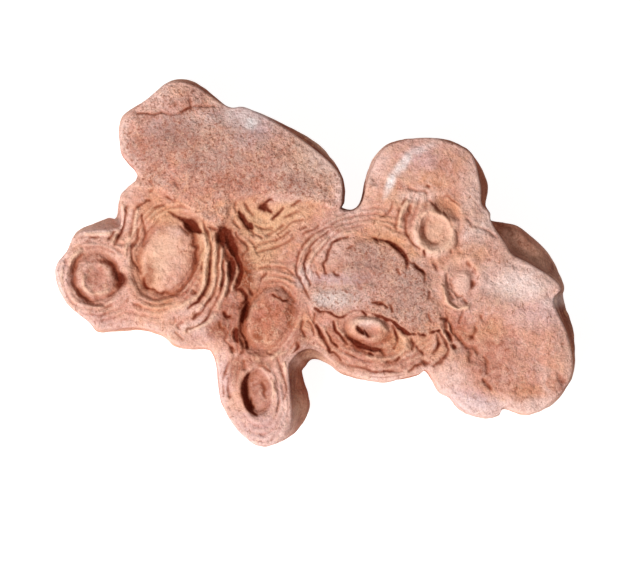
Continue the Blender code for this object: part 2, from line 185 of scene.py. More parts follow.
# Broad swells of the face: (x, y, reach along x, reach along y, height).
SWELLS = (
    (-28.0, 45.0, 36.0, 20.0, 3.6),
    (22.0, -11.0, 30.0, 26.0, 1.8),
    (44.0, 28.0, 22.0, 20.0, 1.4),
    (-88.0, -3.0, 22.0, 22.0, -3.0),
    (-23.0, -56.0, 24.0, 24.0, -4.0),
    (74.0, -34.0, 22.0, 18.0, -1.2),
    (-21.0, 18.0, 10.0, 6.0, -1.8),
    (69.0, -28.0, 9.0, 8.0, -0.8),
)

# Ringed heads: (x, y, half width, half length, turn in degrees, bearing of the deep side, how much deeper
# it is, and the profile as (share of the radius, height)).
HEADS = (
    (-87.2, -5.0, 8.9, 9.5, 0.0, 40.0, 0.2,
     ((0.0, -1.0), (0.35, -0.8), (0.58, 0.3), (0.75, -0.2), (0.9, -1.2), (1.0, -1.7), (1.12, -0.6),
      (1.25, 0.5), (1.45, 0.2), (1.7, 0.0))),
    (-58.4, 2.4, 10.8, 15.2, -25.0, 215.0, 0.3,
     ((0.0, 1.2), (0.5, 1.0), (0.8, 0.2), (0.95, -1.4), (1.05, -1.5), (1.2, -0.3), (1.35, 0.5),
      (1.55, 0.3), (1.8, 0.0))),
    (-22.8, -51.2, 5.4, 9.0, 8.0, 170.0, 0.3,
     ((0.0, -2.2), (0.5, -2.4), (0.8, -2.6), (0.95, -1.2), (1.08, 0.2), (1.25, 0.8), (1.5, 0.2),
      (1.8, 0.0))),
    (-18.6, -21.4, 8.8, 12.6, -18.0, 180.0, 0.75,
     ((0.0, 1.1), (0.6, 1.0), (0.85, 0.3), (1.0, -1.7), (1.15, -0.9), (1.3, 0.3), (1.5, 0.0))),
    (47.6, 12.8, 6.4, 7.6, 10.0, 180.0, 0.3,
     ((0.0, -0.7), (0.5, -0.6), (0.8, -0.1), (1.05, 0.6), (1.25, 0.6), (1.5, -0.2), (1.7, 0.0))),
    (51.6, 22.4, 6.4, 3.2, -40.0, 180.0, 0.0,
     ((0.0, -1.5), (0.7, -1.2), (1.0, -0.2), (1.2, 0.2), (1.5, 0.0))),
    (58.0, -8.0, 6.8, 9.6, -10.0, 20.0, 0.4,
     ((0.0, 0.7), (0.35, 0.3), (0.6, -0.8), (0.8, -0.5), (1.0, 0.5), (1.15, 0.5), (1.4, 0.0))),
    (21.0, -26.2, 7.4, 4.6, -8.0, 180.0, 0.0,
     ((0.0, -0.4), (0.3, -0.2), (0.62, 1.3), (0.85, 0.9), (1.15, -1.0), (1.45, 0.2), (1.8, 0.0))),
)

# Smooth plates that stand above the ringed stone round them: (height, width of their edge, corners).
PLATES = (
    (1.2, 1.1,
     ((-90.0, 40.0), (-74.0, 31.0), (-58.0, 27.2), (-46.0, 18.0), (-38.0, 13.0), (-35.0, 17.0),
      (-34.0, 26.0), (-28.0, 26.4), (-18.0, 27.0), (-14.0, 28.0), (-6.0, 25.0), (10.4, 21.2),
      (24.0, 30.0), (0.0, 70.0), (-50.0, 90.0), (-95.0, 75.0))),
    (0.8, 1.3,
     ((-1.0, -18.0), (3.0, -19.3), (6.8, -20.8), (10.4, -21.6), (14.0, -20.0), (20.0, -19.6),
      (26.0, -21.2), (30.8, -22.8), (34.8, -26.4), (38.0, -28.0), (42.8, -28.0), (48.8, -27.2),
      (50.0, -22.8), (47.2, -16.8), (45.2, -10.8), (43.6, -4.8), (38.0, -0.8), (34.0, 4.4), (29.2, 8.0),
      (22.8, 8.8), (16.0, 7.6), (12.0, 3.2), (10.8, -2.0), (4.0, -6.0), (-1.2, -10.8), (-1.6, -14.8))),
)

# Grooves of the fine face, each a course of (x, y, depth, half width).
GROOVES = (
    # The moat of the great head.
    ((-58.3, 20.5, 1.2, 0.4), (-56.8, 19.7, 2.6, 0.5), (-55.2, 18.6, 2.9, 0.7), (-53.4, 17.6, 4.1, 0.6),
     (-52.0, 17.0, 4.3, 0.9), (-50.6, 15.8, 6.0, 1.6), (-48.6, 14.6, 6.0, 1.9), (-47.2, 13.5, 6.0, 1.5),
     (-45.7, 12.4, 4.8, 0.8)),
    ((-53.2, 14.6, 1.4, 0.6), (-51.4, 12.6, 1.9, 0.6), (-50.2, 11.6, 1.8, 0.6)),
    ((-48.3, 11.6, 2.0, 0.8), (-47.7, 9.5, 1.7, 0.9), (-48.0, 7.5, 2.0, 0.7), (-46.7, 6.4, 2.2, 0.6),
     (-47.2, 4.6, 1.7, 0.6), (-47.2, 2.9, 2.2, 0.7), (-47.3, 0.8, 3.1, 0.8), (-48.0, -1.6, 1.8, 0.7),
     (-48.3, -3.1, 1.8, 0.6), (-49.2, -5.4, 2.0, 0.6), (-50.6, -7.4, 1.3, 0.6), (-52.3, -9.6, 1.0, 0.6),
     (-54.8, -12.0, 0.9, 0.6)),
    ((-48.4, -10.8, 1.8, 0.4), (-47.4, -11.6, 2.4, 0.5), (-48.4, -12.0, 1.9, 0.5)),
    ((-68.0, -6.2, 2.9, 0.5), (-67.8, -8.2, 3.6, 0.6), (-67.2, -9.4, 4.1, 0.6), (-66.5, -9.9, 4.3, 0.6),
     (-65.2, -10.2, 2.9, 0.4), (-63.7, -10.5, 3.1, 0.5), (-62.6, -11.5, 3.1, 0.5),
     (-60.8, -12.0, 3.6, 0.5), (-59.6, -11.4, 2.2, 0.5), (-58.0, -12.0, 1.6, 0.5)),
    ((-68.8, 18.9, 2.6, 0.5), (-68.6, 17.4, 2.4, 0.5), (-68.0, 15.2, 1.8, 0.6), (-67.4, 12.0, 1.8, 0.6),
     (-67.4, 10.0, 1.8, 0.6), (-68.0, 8.4, 1.4, 0.6), (-68.3, 7.1, 1.3, 0.5)),
    ((-70.3, 13.5, 1.7, 0.4), (-70.4, 11.2, 2.4, 0.5), (-70.4, 9.5, 2.4, 0.5), (-71.2, 8.0, 2.4, 0.6),
     (-72.2, 7.2, 2.8, 0.8), (-72.8, 5.5, 2.4, 0.6), (-72.8, 3.5, 2.4, 0.5), (-72.6, 1.5, 1.7, 0.6),
     (-71.4, -0.2, 1.4, 0.6), (-70.0, -2.0, 1.3, 0.5), (-69.2, -4.0, 1.2, 0.5)),
    ((-70.8, 2.8, 1.2, 0.5), (-70.4, 0.4, 1.2, 0.5), (-69.6, -1.6, 1.4, 0.5)),
    ((-63.6, 22.0, 1.7, 0.5), (-62.0, 22.6, 1.8, 0.4), (-59.7, 22.9, 1.2, 0.4)),
    ((-58.8, 26.2, 1.8, 0.4), (-58.3, 25.9, 2.4, 0.4), (-56.8, 25.0, 1.7, 0.4), (-55.6, 25.0, 1.2, 0.4)),
    ((-44.8, 0.4, 1.9, 0.4), (-45.0, -1.6, 2.2, 0.4), (-45.0, -3.2, 1.7, 0.4)),
    ((-71.8, -16.1, 1.6, 0.5), (-70.0, -16.6, 1.9, 0.5), (-69.0, -17.2, 1.4, 0.5)),
    ((-57.0, -12.6, 1.6, 0.6), (-55.3, -12.6, 1.8, 0.7), (-54.0, -12.4, 1.4, 0.6)),
    ((-52.7, -23.5, 1.9, 0.6), (-54.0, -24.2, 1.7, 0.5), (-54.6, -24.8, 1.7, 0.5),
     (-53.8, -26.0, 1.3, 0.5)),
    ((-55.8, -21.2, 1.0, 0.4), (-55.4, -22.8, 1.1, 0.4), (-56.2, -24.0, 0.8, 0.4)),
    ((-55.6, -27.4, 1.2, 0.4), (-54.0, -28.8, 1.2, 0.4), (-52.6, -30.2, 1.2, 0.4)),
    # The valley between the knob and the great head.
    ((-74.6, 22.5, 2.1, 0.5), (-75.1, 21.4, 2.7, 0.5), (-75.0, 19.8, 2.7, 0.5), (-75.4, 18.5, 2.2, 0.5),
     (-75.8, 16.6, 3.4, 0.5), (-76.1, 15.0, 3.2, 0.5), (-76.6, 13.7, 3.2, 0.6), (-77.0, 11.9, 3.2, 0.6),
     (-78.0, 10.8, 3.4, 0.6), (-78.6, 9.0, 2.7, 0.5), (-79.3, 7.6, 1.7, 0.5)),
    ((-76.7, 24.2, 1.4, 0.5), (-77.4, 22.0, 1.5, 0.5), (-77.5, 20.4, 1.7, 0.5), (-77.7, 18.2, 2.7, 0.5),
     (-78.3, 15.9, 2.2, 0.5), (-78.5, 14.2, 2.4, 0.5), (-79.6, 13.0, 2.2, 0.5), (-80.4, 11.4, 2.1, 0.5),
     (-81.7, 9.8, 2.5, 0.5)),
    ((-65.7, 24.9, 2.4, 0.5), (-66.8, 24.8, 2.4, 0.5), (-67.4, 24.0, 2.1, 0.5), (-69.4, 22.9, 1.8, 0.5),
     (-71.2, 21.5, 1.8, 0.5), (-71.8, 19.8, 1.7, 0.5), (-72.2, 18.4, 1.8, 0.5), (-72.6, 15.2, 1.7, 0.5),
     (-73.0, 12.8, 1.8, 0.5), (-73.3, 10.8, 1.8, 0.5)),
    ((-89.4, 10.4, 1.5, 0.4), (-88.4, 10.2, 2.0, 0.4), (-86.0, 10.4, 1.5, 0.4)),
    # The stepped rings on its right.
    ((-44.4, 16.4, 1.7, 0.4), (-43.6, 13.6, 2.8, 0.5), (-42.8, 12.4, 3.8, 0.7), (-42.2, 10.8, 2.4, 0.4),
     (-41.8, 9.2, 2.0, 0.4), (-41.4, 7.6, 2.0, 0.4), (-41.2, 5.2, 2.0, 0.4), (-41.4, 2.4, 2.5, 0.4),
     (-41.6, 0.4, 3.8, 0.6), (-41.8, -2.8, 4.0, 0.6), (-42.0, -5.6, 4.0, 0.6), (-42.4, -8.0, 3.3, 0.6),
     (-43.6, -10.8, 3.2, 0.6), (-44.8, -12.8, 3.8, 0.6), (-46.0, -14.4, 3.8, 0.6),
     (-46.4, -15.2, 3.8, 0.5), (-48.2, -16.1, 3.5, 0.5), (-49.6, -17.2, 2.8, 0.5),
     (-50.4, -18.0, 1.7, 0.4)),
    ((-37.8, 6.8, 2.2, 0.4), (-38.2, 4.4, 2.5, 0.4), (-38.2, 1.2, 2.5, 0.4), (-38.6, -0.8, 1.8, 0.4),
     (-38.2, -3.6, 1.7, 0.4), (-38.8, -6.8, 1.7, 0.4), (-39.4, -9.6, 1.7, 0.4), (-40.2, -12.0, 2.2, 0.5),
     (-41.1, -13.7, 3.5, 0.5), (-42.9, -15.7, 3.8, 0.5), (-43.8, -17.5, 2.9, 0.4),
     (-44.7, -19.0, 2.4, 0.4), (-45.6, -19.9, 2.5, 0.5), (-47.1, -20.6, 2.9, 0.6),
     (-48.4, -21.9, 2.8, 0.5)),
    ((-36.4, 0.8, 2.5, 0.5), (-36.6, -1.6, 2.5, 0.5), (-36.2, -3.6, 2.5, 0.5), (-36.4, -6.0, 3.2, 0.6),
     (-36.8, -8.0, 4.0, 0.6), (-37.4, -10.4, 2.9, 0.5), (-38.0, -12.4, 2.0, 0.4),
     (-39.2, -14.8, 1.8, 0.4), (-40.4, -17.0, 1.8, 0.4), (-41.6, -19.2, 2.1, 0.4),
     (-42.2, -20.6, 2.4, 0.4), (-43.0, -21.9, 3.5, 0.5), (-44.0, -23.0, 2.8, 0.5),
     (-45.3, -23.9, 2.1, 0.4), (-46.7, -24.8, 2.4, 0.4), (-48.4, -25.5, 2.2, 0.5),
     (-50.7, -26.1, 2.4, 0.5), (-50.8, -27.2, 1.7, 0.5)),
    ((-35.6, 5.2, 2.4, 0.9), (-34.8, 3.2, 3.0, 1.1), (-34.4, 1.2, 3.0, 0.9)),
    ((-33.2, 1.6, 4.7, 1.0), (-33.1, 0.0, 6.0, 1.4), (-33.0, -2.8, 6.0, 1.4), (-33.2, -6.0, 4.6, 1.0),
     (-33.8, -8.8, 3.2, 0.6), (-34.4, -11.2, 3.2, 0.6), (-35.2, -13.2, 2.7, 0.6)),
    ((-30.0, 0.4, 4.9, 0.7), (-29.6, -2.0, 5.4, 0.8), (-29.2, -3.6, 5.4, 0.8), (-30.2, -6.4, 5.4, 0.8),
     (-30.8, -8.4, 4.9, 0.7), (-31.4, -9.6, 4.3, 0.7)),
    ((-31.2, -10.4, 3.5, 0.7), (-29.6, -10.4, 4.1, 0.7), (-28.4, -11.6, 4.1, 0.7),
     (-27.6, -12.8, 4.1, 0.7), (-27.4, -14.8, 4.1, 0.7), (-28.8, -16.0, 4.1, 0.7),
     (-29.6, -17.6, 3.2, 0.7)),
    ((-37.6, 13.6, 4.1, 0.9), (-37.2, 12.4, 6.0, 1.8), (-36.8, 10.0, 6.0, 2.0), (-36.4, 8.0, 5.4, 1.4),
     (-36.2, 6.4, 3.2, 0.9)),
    ((-36.2, 13.0, 4.6, 1.3), (-35.6, 12.0, 6.0, 1.8), (-34.4, 9.2, 6.0, 1.9), (-32.8, 6.4, 6.0, 1.9),
     (-32.0, 4.0, 5.9, 1.5), (-31.6, 2.8, 5.4, 1.1), (-30.4, 0.4, 5.4, 1.1), (-29.6, -2.0, 5.4, 1.0)),
    ((-42.4, 14.2, 1.9, 0.4), (-40.4, 13.6, 2.7, 0.6), (-38.0, 13.0, 3.2, 0.6)),
    ((-31.6, 12.0, 2.0, 0.5), (-30.8, 10.0, 2.3, 0.5), (-29.2, 8.8, 2.3, 0.5), (-27.6, 7.6, 2.3, 0.5),
     (-26.8, 6.4, 2.3, 0.5), (-26.8, 5.2, 2.3, 0.5), (-28.0, 4.0, 2.2, 0.5), (-28.8, 2.4, 2.2, 0.5),
     (-28.6, 1.2, 1.9, 0.5)),
    ((-28.4, -1.6, 2.3, 0.5), (-27.2, -3.2, 2.4, 0.5), (-26.0, -3.6, 2.4, 0.5), (-25.2, -4.0, 1.9, 0.5)),
    ((-26.2, -10.0, 2.4, 0.6), (-25.6, -11.6, 2.7, 0.6), (-24.8, -12.4, 2.2, 0.5)),
    ((-32.4, 16.8, 1.6, 0.4), (-31.2, 15.2, 1.6, 0.4), (-30.0, 14.0, 1.5, 0.4)),
    # The broken edge left of the middle head.
    ((-26.8, -16.0, 5.2, 0.9), (-27.6, -18.4, 5.9, 1.1), (-28.2, -20.4, 5.9, 1.1),
     (-29.0, -22.8, 4.4, 0.9)),
    ((-29.4, -24.4, 2.6, 0.4), (-29.6, -26.8, 2.6, 0.4), (-28.8, -28.4, 2.6, 0.4),
     (-28.0, -29.6, 2.3, 0.4)),
    ((-31.6, -26.4, 4.4, 0.8), (-31.8, -28.0, 5.9, 1.0), (-31.4, -30.0, 5.5, 0.9),
     (-30.8, -31.2, 3.4, 0.6)),
    ((-30.8, -29.6, 2.6, 0.6), (-29.6, -30.8, 2.6, 0.6), (-28.8, -32.4, 2.6, 0.6),
     (-28.6, -34.8, 2.3, 0.6), (-29.2, -35.5, 2.6, 0.6)),
    ((-27.4, -31.2, 3.4, 0.6), (-27.0, -33.2, 3.9, 0.7)),
    ((-36.2, -19.6, 3.9, 0.8), (-35.2, -21.2, 4.5, 0.9), (-34.0, -21.2, 3.9, 0.8)),
    ((-38.0, -23.2, 1.8, 0.5), (-37.6, -25.2, 2.0, 0.5), (-36.0, -26.0, 1.8, 0.5)),
    ((-34.8, -27.2, 1.7, 0.4), (-35.4, -29.6, 1.7, 0.4), (-36.0, -30.4, 1.7, 0.4),
     (-34.4, -32.0, 2.0, 0.4), (-33.3, -33.6, 3.6, 0.7), (-32.9, -34.9, 2.6, 0.6)),
    # The pocket below the cap, and the bridge.
    ((-30.2, 20.2, 4.2, 0.6), (-29.2, 18.4, 5.9, 0.9), (-28.2, 16.8, 5.9, 0.9), (-27.2, 15.4, 5.9, 1.1),
     (-26.0, 14.6, 5.6, 1.3), (-25.2, 14.0, 4.2, 0.8)),
    ((-26.0, 13.2, 2.8, 0.5), (-24.8, 12.4, 2.8, 0.5), (-24.4, 11.2, 2.5, 0.5)),
    ((-24.0, 11.6, 1.8, 0.4), (-22.4, 10.8, 1.8, 0.4), (-21.2, 10.0, 1.7, 0.4)),
    ((-31.6, 23.6, 1.7, 0.5), (-31.8, 22.0, 1.7, 0.5), (-31.2, 20.4, 1.7, 0.5)),
    ((-21.8, 22.0, 4.5, 0.8), (-20.4, 22.6, 5.0, 1.1), (-19.6, 22.0, 4.8, 0.8), (-18.8, 21.0, 4.2, 0.6),
     (-17.6, 20.2, 3.6, 0.5)),
    ((-20.0, 23.8, 2.8, 0.5), (-19.2, 24.4, 3.4, 0.5), (-18.4, 24.9, 3.4, 0.5), (-17.4, 25.2, 2.8, 0.5)),
    ((-17.0, 17.6, 2.5, 0.5), (-15.6, 18.8, 3.1, 0.5), (-14.2, 20.2, 3.1, 0.5), (-12.8, 21.8, 2.2, 0.5)),
    ((-9.2, 22.8, 1.8, 0.5), (-8.0, 23.4, 2.1, 0.5), (-7.0, 24.4, 2.1, 0.5), (-6.0, 24.8, 1.7, 0.5)),
    ((-14.8, 11.6, 1.4, 0.4), (-13.6, 12.4, 1.4, 0.4), (-12.0, 13.6, 1.4, 0.4), (-10.0, 15.6, 1.4, 0.4),
     (-8.0, 16.6, 1.4, 0.4), (-4.8, 17.2, 1.4, 0.4)),
    ((-6.0, 13.6, 1.4, 0.4), (-4.8, 14.0, 1.4, 0.4), (-3.6, 14.4, 1.4, 0.4)),
    ((-23.2, 6.8, 1.3, 0.5), (-20.4, 8.0, 1.4, 0.5), (-15.6, 9.2, 1.5, 0.5), (-12.4, 10.8, 1.4, 0.5),
     (-10.0, 12.8, 1.4, 0.4)),
    ((-22.8, 4.4, 1.3, 0.5), (-19.6, 5.2, 1.5, 0.5), (-16.0, 6.2, 1.4, 0.5), (-11.6, 8.0, 1.3, 0.5),
     (-8.8, 10.0, 1.3, 0.4)),
    ((-26.0, 9.2, 1.7, 0.5), (-24.4, 7.6, 1.7, 0.5), (-23.6, 5.6, 1.4, 0.5)),
    ((-21.2, 22.2, 4.8, 1.2), (-20.0, 21.2, 4.2, 0.8)),
    ((-27.6, 23.2, 2.0, 0.5), (-26.4, 20.8, 2.0, 0.5), (-24.8, 19.2, 1.7, 0.5)),
    ((-23.6, 14.8, 1.4, 0.5), (-20.4, 13.6, 1.5, 0.5), (-17.2, 14.0, 1.4, 0.5)),
    ((-11.6, 18.4, 1.7, 0.5), (-9.2, 19.6, 1.7, 0.5), (-6.8, 20.4, 1.4, 0.5)),
    ((-18.8, 11.2, 1.3, 0.5), (-16.0, 12.8, 1.4, 0.5), (-12.8, 14.8, 1.3, 0.5)),
    # The middle head.
    ((-21.6, -7.2, 1.8, 0.4), (-21.2, -5.8, 1.8, 0.4), (-20.4, -5.0, 1.8, 0.4), (-19.2, -4.2, 1.7, 0.4)),
    ((-13.2, -9.6, 2.1, 0.5), (-12.4, -10.4, 2.2, 0.5), (-11.4, -11.2, 2.2, 0.5)),
    ((-10.4, -11.6, 2.1, 0.6), (-9.6, -13.2, 2.3, 0.6), (-8.6, -14.4, 2.3, 0.6), (-8.4, -15.2, 2.1, 0.6)),
    ((-16.8, -12.4, 3.4, 0.4), (-15.8, -13.2, 4.2, 0.4), (-14.8, -13.8, 4.2, 0.4),
     (-14.0, -13.8, 3.9, 0.4), (-13.2, -14.6, 4.2, 0.4), (-12.2, -14.9, 4.2, 0.4),
     (-10.8, -14.6, 3.1, 0.4)),
    ((-22.0, -2.0, 1.4, 0.4), (-19.2, -1.5, 1.4, 0.4), (-16.0, -1.4, 1.4, 0.4), (-12.4, -2.0, 1.4, 0.4),
     (-10.4, -2.8, 1.4, 0.4), (-8.8, -4.4, 1.4, 0.4), (-7.6, -5.6, 1.4, 0.4)),
    ((-18.8, -35.6, 1.2, 0.4), (-16.0, -36.4, 1.2, 0.4)),
    # The rings of the centre head.
    ((-6.4, 4.4, 2.0, 0.4), (-6.8, 2.8, 2.0, 0.4), (-7.2, 0.8, 2.0, 0.4), (-7.6, -0.8, 2.0, 0.4),
     (-7.6, -2.8, 2.3, 0.5), (-7.2, -4.8, 2.8, 0.6), (-6.2, -6.0, 2.8, 0.6), (-5.6, -7.6, 2.2, 0.4),
     (-4.8, -8.8, 2.0, 0.4), (-3.6, -11.6, 2.0, 0.4), (-2.4, -14.0, 1.9, 0.4)),
    ((-5.4, 5.8, 1.9, 0.4), (-4.8, 7.2, 2.0, 0.4), (-3.4, 8.8, 2.0, 0.4), (-2.0, 10.2, 2.0, 0.4),
     (0.0, 11.8, 2.0, 0.4), (2.0, 12.8, 2.0, 0.4), (4.0, 13.8, 2.0, 0.4), (6.4, 14.4, 1.7, 0.4)),
    ((-2.0, 5.2, 2.5, 0.5), (-2.8, 4.0, 2.5, 0.5), (-3.6, 2.4, 2.5, 0.5), (-4.2, 0.8, 2.5, 0.5),
     (-4.6, -0.4, 2.8, 0.5), (-4.2, -2.0, 3.7, 0.6), (-4.0, -3.6, 2.6, 0.5), (-3.4, -5.6, 2.5, 0.5),
     (-2.4, -7.2, 2.5, 0.5), (-2.0, -8.4, 2.0, 0.4)),
    ((-2.8, 4.4, 2.2, 0.4), (-2.0, 6.4, 2.3, 0.4), (-0.4, 8.4, 2.3, 0.4), (1.2, 9.8, 2.3, 0.4),
     (2.8, 10.8, 2.3, 0.4), (4.4, 12.0, 2.3, 0.4), (5.2, 12.8, 2.0, 0.4)),
    ((-4.8, 11.6, 1.7, 0.4), (-2.8, 12.6, 1.9, 0.4), (-0.4, 13.4, 1.9, 0.4), (1.2, 14.8, 1.7, 0.4)),
    ((-1.6, -1.2, 1.2, 0.4), (-1.6, -2.4, 1.2, 0.4), (-0.8, -3.6, 1.2, 0.4)),
    ((0.4, -3.6, 2.0, 0.4), (1.2, -4.8, 2.0, 0.4), (1.6, -6.0, 1.9, 0.4)),
    ((12.8, 10.4, 2.3, 0.5), (10.0, 9.6, 2.6, 0.5), (7.6, 8.6, 2.6, 0.5), (6.4, 7.6, 2.6, 0.5),
     (6.2, 6.4, 2.6, 0.5), (5.2, 4.8, 2.6, 0.5), (4.6, 2.8, 2.6, 0.5), (4.4, 1.4, 2.6, 0.5),
     (3.2, 0.0, 2.5, 0.5)),
    ((3.2, -0.8, 2.6, 0.5), (3.6, -2.4, 2.8, 0.5), (4.0, -4.0, 2.5, 0.5)),
    ((7.2, -3.6, 2.8, 0.5), (8.0, -4.6, 3.1, 0.5), (9.2, -4.8, 2.6, 0.5)),
    ((-0.2, -20.0, 1.9, 0.4), (-0.6, -22.0, 1.9, 0.4), (-0.6, -23.6, 1.7, 0.4)),
    ((-5.0, -23.2, 2.6, 0.5), (-5.4, -24.8, 2.9, 0.5), (-5.6, -26.0, 2.9, 0.5), (-4.8, -27.6, 2.9, 0.5),
     (-4.2, -28.8, 2.5, 0.5)),
    ((-2.8, -23.0, 2.2, 0.4), (-1.6, -24.4, 2.5, 0.4), (-0.8, -26.8, 2.5, 0.4), (-0.6, -28.4, 2.2, 0.4)),
    ((-7.2, -31.6, 2.3, 0.5), (-6.9, -33.2, 3.4, 0.6), (-7.5, -34.6, 3.7, 0.6), (-7.4, -36.3, 4.7, 0.7),
     (-6.4, -38.0, 3.1, 0.6)),
    # The centre plate: its upper edge.
    ((22.6, 10.2, 1.8, 0.4), (23.4, 9.8, 2.9, 0.5), (24.1, 9.5, 3.6, 0.5), (24.8, 8.6, 2.9, 0.5)),
    ((24.8, 9.4, 2.6, 0.5), (26.0, 9.1, 2.9, 0.5), (27.6, 8.8, 3.1, 0.5), (29.2, 8.3, 5.0, 0.6),
     (30.8, 7.2, 5.8, 0.8), (32.4, 5.9, 6.0, 0.8), (34.0, 4.5, 6.0, 0.9), (35.1, 3.0, 6.0, 0.8),
     (36.0, 1.4, 5.0, 0.7), (36.3, -0.5, 3.4, 0.6), (36.3, -2.1, 2.4, 0.4)),
    ((36.8, 1.0, 2.4, 0.4), (38.0, -0.1, 2.4, 0.4), (39.0, -0.1, 3.1, 0.5), (39.4, -0.6, 3.6, 0.5),
     (40.1, -1.6, 4.8, 0.7), (41.2, -2.5, 4.8, 0.7), (42.5, -3.2, 4.3, 0.7), (43.2, -4.4, 2.9, 0.6),
     (43.3, -6.9, 1.9, 0.6)),
    ((12.8, 5.8, 1.7, 0.4), (13.8, 6.4, 1.8, 0.4), (14.8, 6.8, 1.7, 0.4)),
    # Its pits.
    ((32.6, -2.4, 1.8, 0.4), (32.8, -3.4, 2.2, 0.4), (33.3, -4.4, 2.4, 0.4)),
    ((45.1, -11.4, 1.8, 0.6), (45.0, -13.8, 1.8, 0.6)),
    ((44.7, -20.2, 1.6, 0.4), (45.0, -21.6, 1.7, 0.4), (45.6, -22.6, 1.6, 0.4)),
    # Its lower edge.
    ((-0.2, -17.8, 3.4, 0.5), (1.0, -18.6, 4.4, 0.5), (2.0, -19.2, 4.4, 0.5), (4.0, -19.2, 4.1, 0.5),
     (5.8, -19.6, 4.4, 0.5), (6.8, -20.4, 4.4, 0.5), (8.0, -21.0, 4.4, 0.5), (9.2, -21.4, 4.4, 0.5),
     (10.4, -21.4, 4.4, 0.5), (11.6, -21.0, 3.7, 0.5), (12.4, -20.4, 2.7, 0.5)),
    ((18.4, -19.0, 3.1, 0.5), (19.2, -19.6, 4.8, 0.5), (20.0, -20.4, 4.2, 0.5)),
    ((12.4, -20.4, 1.7, 0.4), (14.2, -19.2, 1.7, 0.4), (16.2, -18.7, 1.4, 0.4), (18.4, -19.0, 1.8, 0.4),
     (20.8, -19.3, 1.7, 0.4), (23.2, -20.3, 1.9, 0.4)),
    ((23.2, -20.3, 2.7, 0.4), (24.6, -21.0, 3.7, 0.5), (26.0, -21.2, 4.4, 0.5), (26.8, -21.6, 5.8, 0.5),
     (28.0, -22.3, 6.0, 0.6), (29.4, -22.5, 5.8, 0.5), (30.6, -23.1, 6.0, 0.5), (32.0, -24.4, 6.0, 0.5),
     (33.0, -25.4, 6.0, 0.6), (34.2, -26.0, 6.0, 0.6), (35.2, -26.9, 6.0, 0.7), (36.2, -27.6, 6.0, 0.6),
     (37.1, -28.1, 5.1, 0.5), (38.0, -28.1, 2.7, 0.4), (39.0, -28.0, 3.1, 0.5), (39.8, -28.2, 2.2, 0.4)),
    ((40.6, -27.6, 2.4, 0.4), (41.6, -28.4, 3.1, 0.5), (42.9, -28.4, 4.4, 0.6), (43.6, -28.7, 3.1, 0.4)),
    ((45.6, -27.5, 3.4, 0.5), (46.6, -27.3, 5.1, 0.5), (47.6, -26.9, 3.6, 0.4), (48.8, -26.8, 5.1, 0.6)),
    ((22.4, -15.6, 2.4, 0.4), (23.7, -15.7, 4.4, 0.6), (25.5, -16.0, 4.4, 0.6), (27.1, -16.5, 3.9, 0.5),
     (28.4, -17.5, 4.1, 0.4)),
    ((29.8, -16.8, 3.1, 0.4), (30.2, -18.4, 3.7, 0.4), (30.4, -19.2, 2.7, 0.4)),
    # The rings below the plate.
    ((7.2, -23.0, 3.3, 0.5), (7.4, -24.8, 3.9, 0.5), (8.0, -26.8, 3.9, 0.5), (9.2, -28.0, 3.9, 0.5),
     (10.4, -29.4, 3.9, 0.5), (11.6, -30.8, 3.9, 0.5), (12.4, -32.0, 3.0, 0.5)),
    ((12.4, -28.8, 3.0, 0.8), (13.8, -30.0, 5.4, 0.8), (14.8, -30.8, 6.0, 0.8), (16.0, -31.6, 6.0, 1.0),
     (17.2, -32.4, 6.0, 1.2), (18.2, -32.8, 6.0, 0.9), (19.6, -33.2, 6.0, 0.8), (21.0, -33.6, 6.0, 0.8),
     (22.6, -34.1, 6.0, 0.8), (24.0, -34.2, 6.0, 0.7), (25.0, -34.3, 4.2, 0.6), (26.2, -34.8, 3.0, 0.7),
     (27.2, -36.4, 2.2, 0.6)),
    ((15.2, -32.6, 1.8, 0.7), (16.8, -33.8, 2.1, 0.8), (18.4, -34.6, 2.1, 0.8), (20.0, -35.4, 1.8, 0.7)),
    ((21.0, -35.6, 3.3, 0.5), (21.8, -35.9, 3.9, 0.6), (22.9, -36.3, 2.7, 0.5)),
    ((16.6, -25.1, 3.3, 0.5), (17.0, -26.0, 4.8, 0.7), (18.0, -27.0, 4.8, 0.7), (18.9, -27.8, 4.5, 0.6),
     (19.2, -28.0, 2.4, 0.5)),
    ((19.5, -26.7, 3.0, 0.5), (20.2, -27.8, 3.9, 0.5), (20.7, -28.8, 3.9, 0.5), (21.4, -29.1, 2.2, 0.5)),
    ((30.5, -24.8, 2.5, 0.5), (31.2, -26.2, 3.0, 0.5), (31.7, -27.8, 3.6, 0.5), (32.2, -29.1, 3.6, 0.5),
     (32.4, -31.2, 1.7, 0.5), (31.2, -33.6, 1.4, 0.5)),
    ((0.4, -24.8, 3.6, 0.6), (1.4, -26.4, 4.5, 0.7), (2.0, -28.0, 4.5, 0.7), (3.0, -29.6, 4.5, 0.7),
     (4.0, -31.2, 4.5, 0.7), (4.9, -33.1, 4.5, 0.7), (5.7, -35.0, 4.5, 0.7), (6.4, -35.3, 3.6, 0.6),
     (7.3, -35.4, 3.3, 0.5), (8.8, -36.8, 3.3, 0.5), (10.1, -38.5, 2.8, 0.5)),
    ((4.4, -27.2, 3.0, 0.5), (5.2, -28.4, 3.3, 0.5), (6.0, -29.6, 3.3, 0.5), (6.4, -31.2, 3.3, 0.5),
     (7.6, -32.0, 3.3, 0.5), (8.8, -33.2, 2.7, 0.5)),
    ((12.2, -35.6, 2.0, 0.5), (14.0, -36.4, 2.4, 0.5), (15.6, -37.2, 2.5, 0.5), (16.8, -37.8, 2.0, 0.5),
     (19.2, -38.6, 1.4, 0.5), (22.0, -39.2, 1.8, 0.5)),
    ((28.6, -39.2, 2.5, 0.7), (29.4, -39.3, 2.5, 0.7), (30.8, -39.0, 1.7, 0.5), (32.2, -38.4, 2.8, 0.6),
     (33.0, -37.4, 2.5, 0.5)),
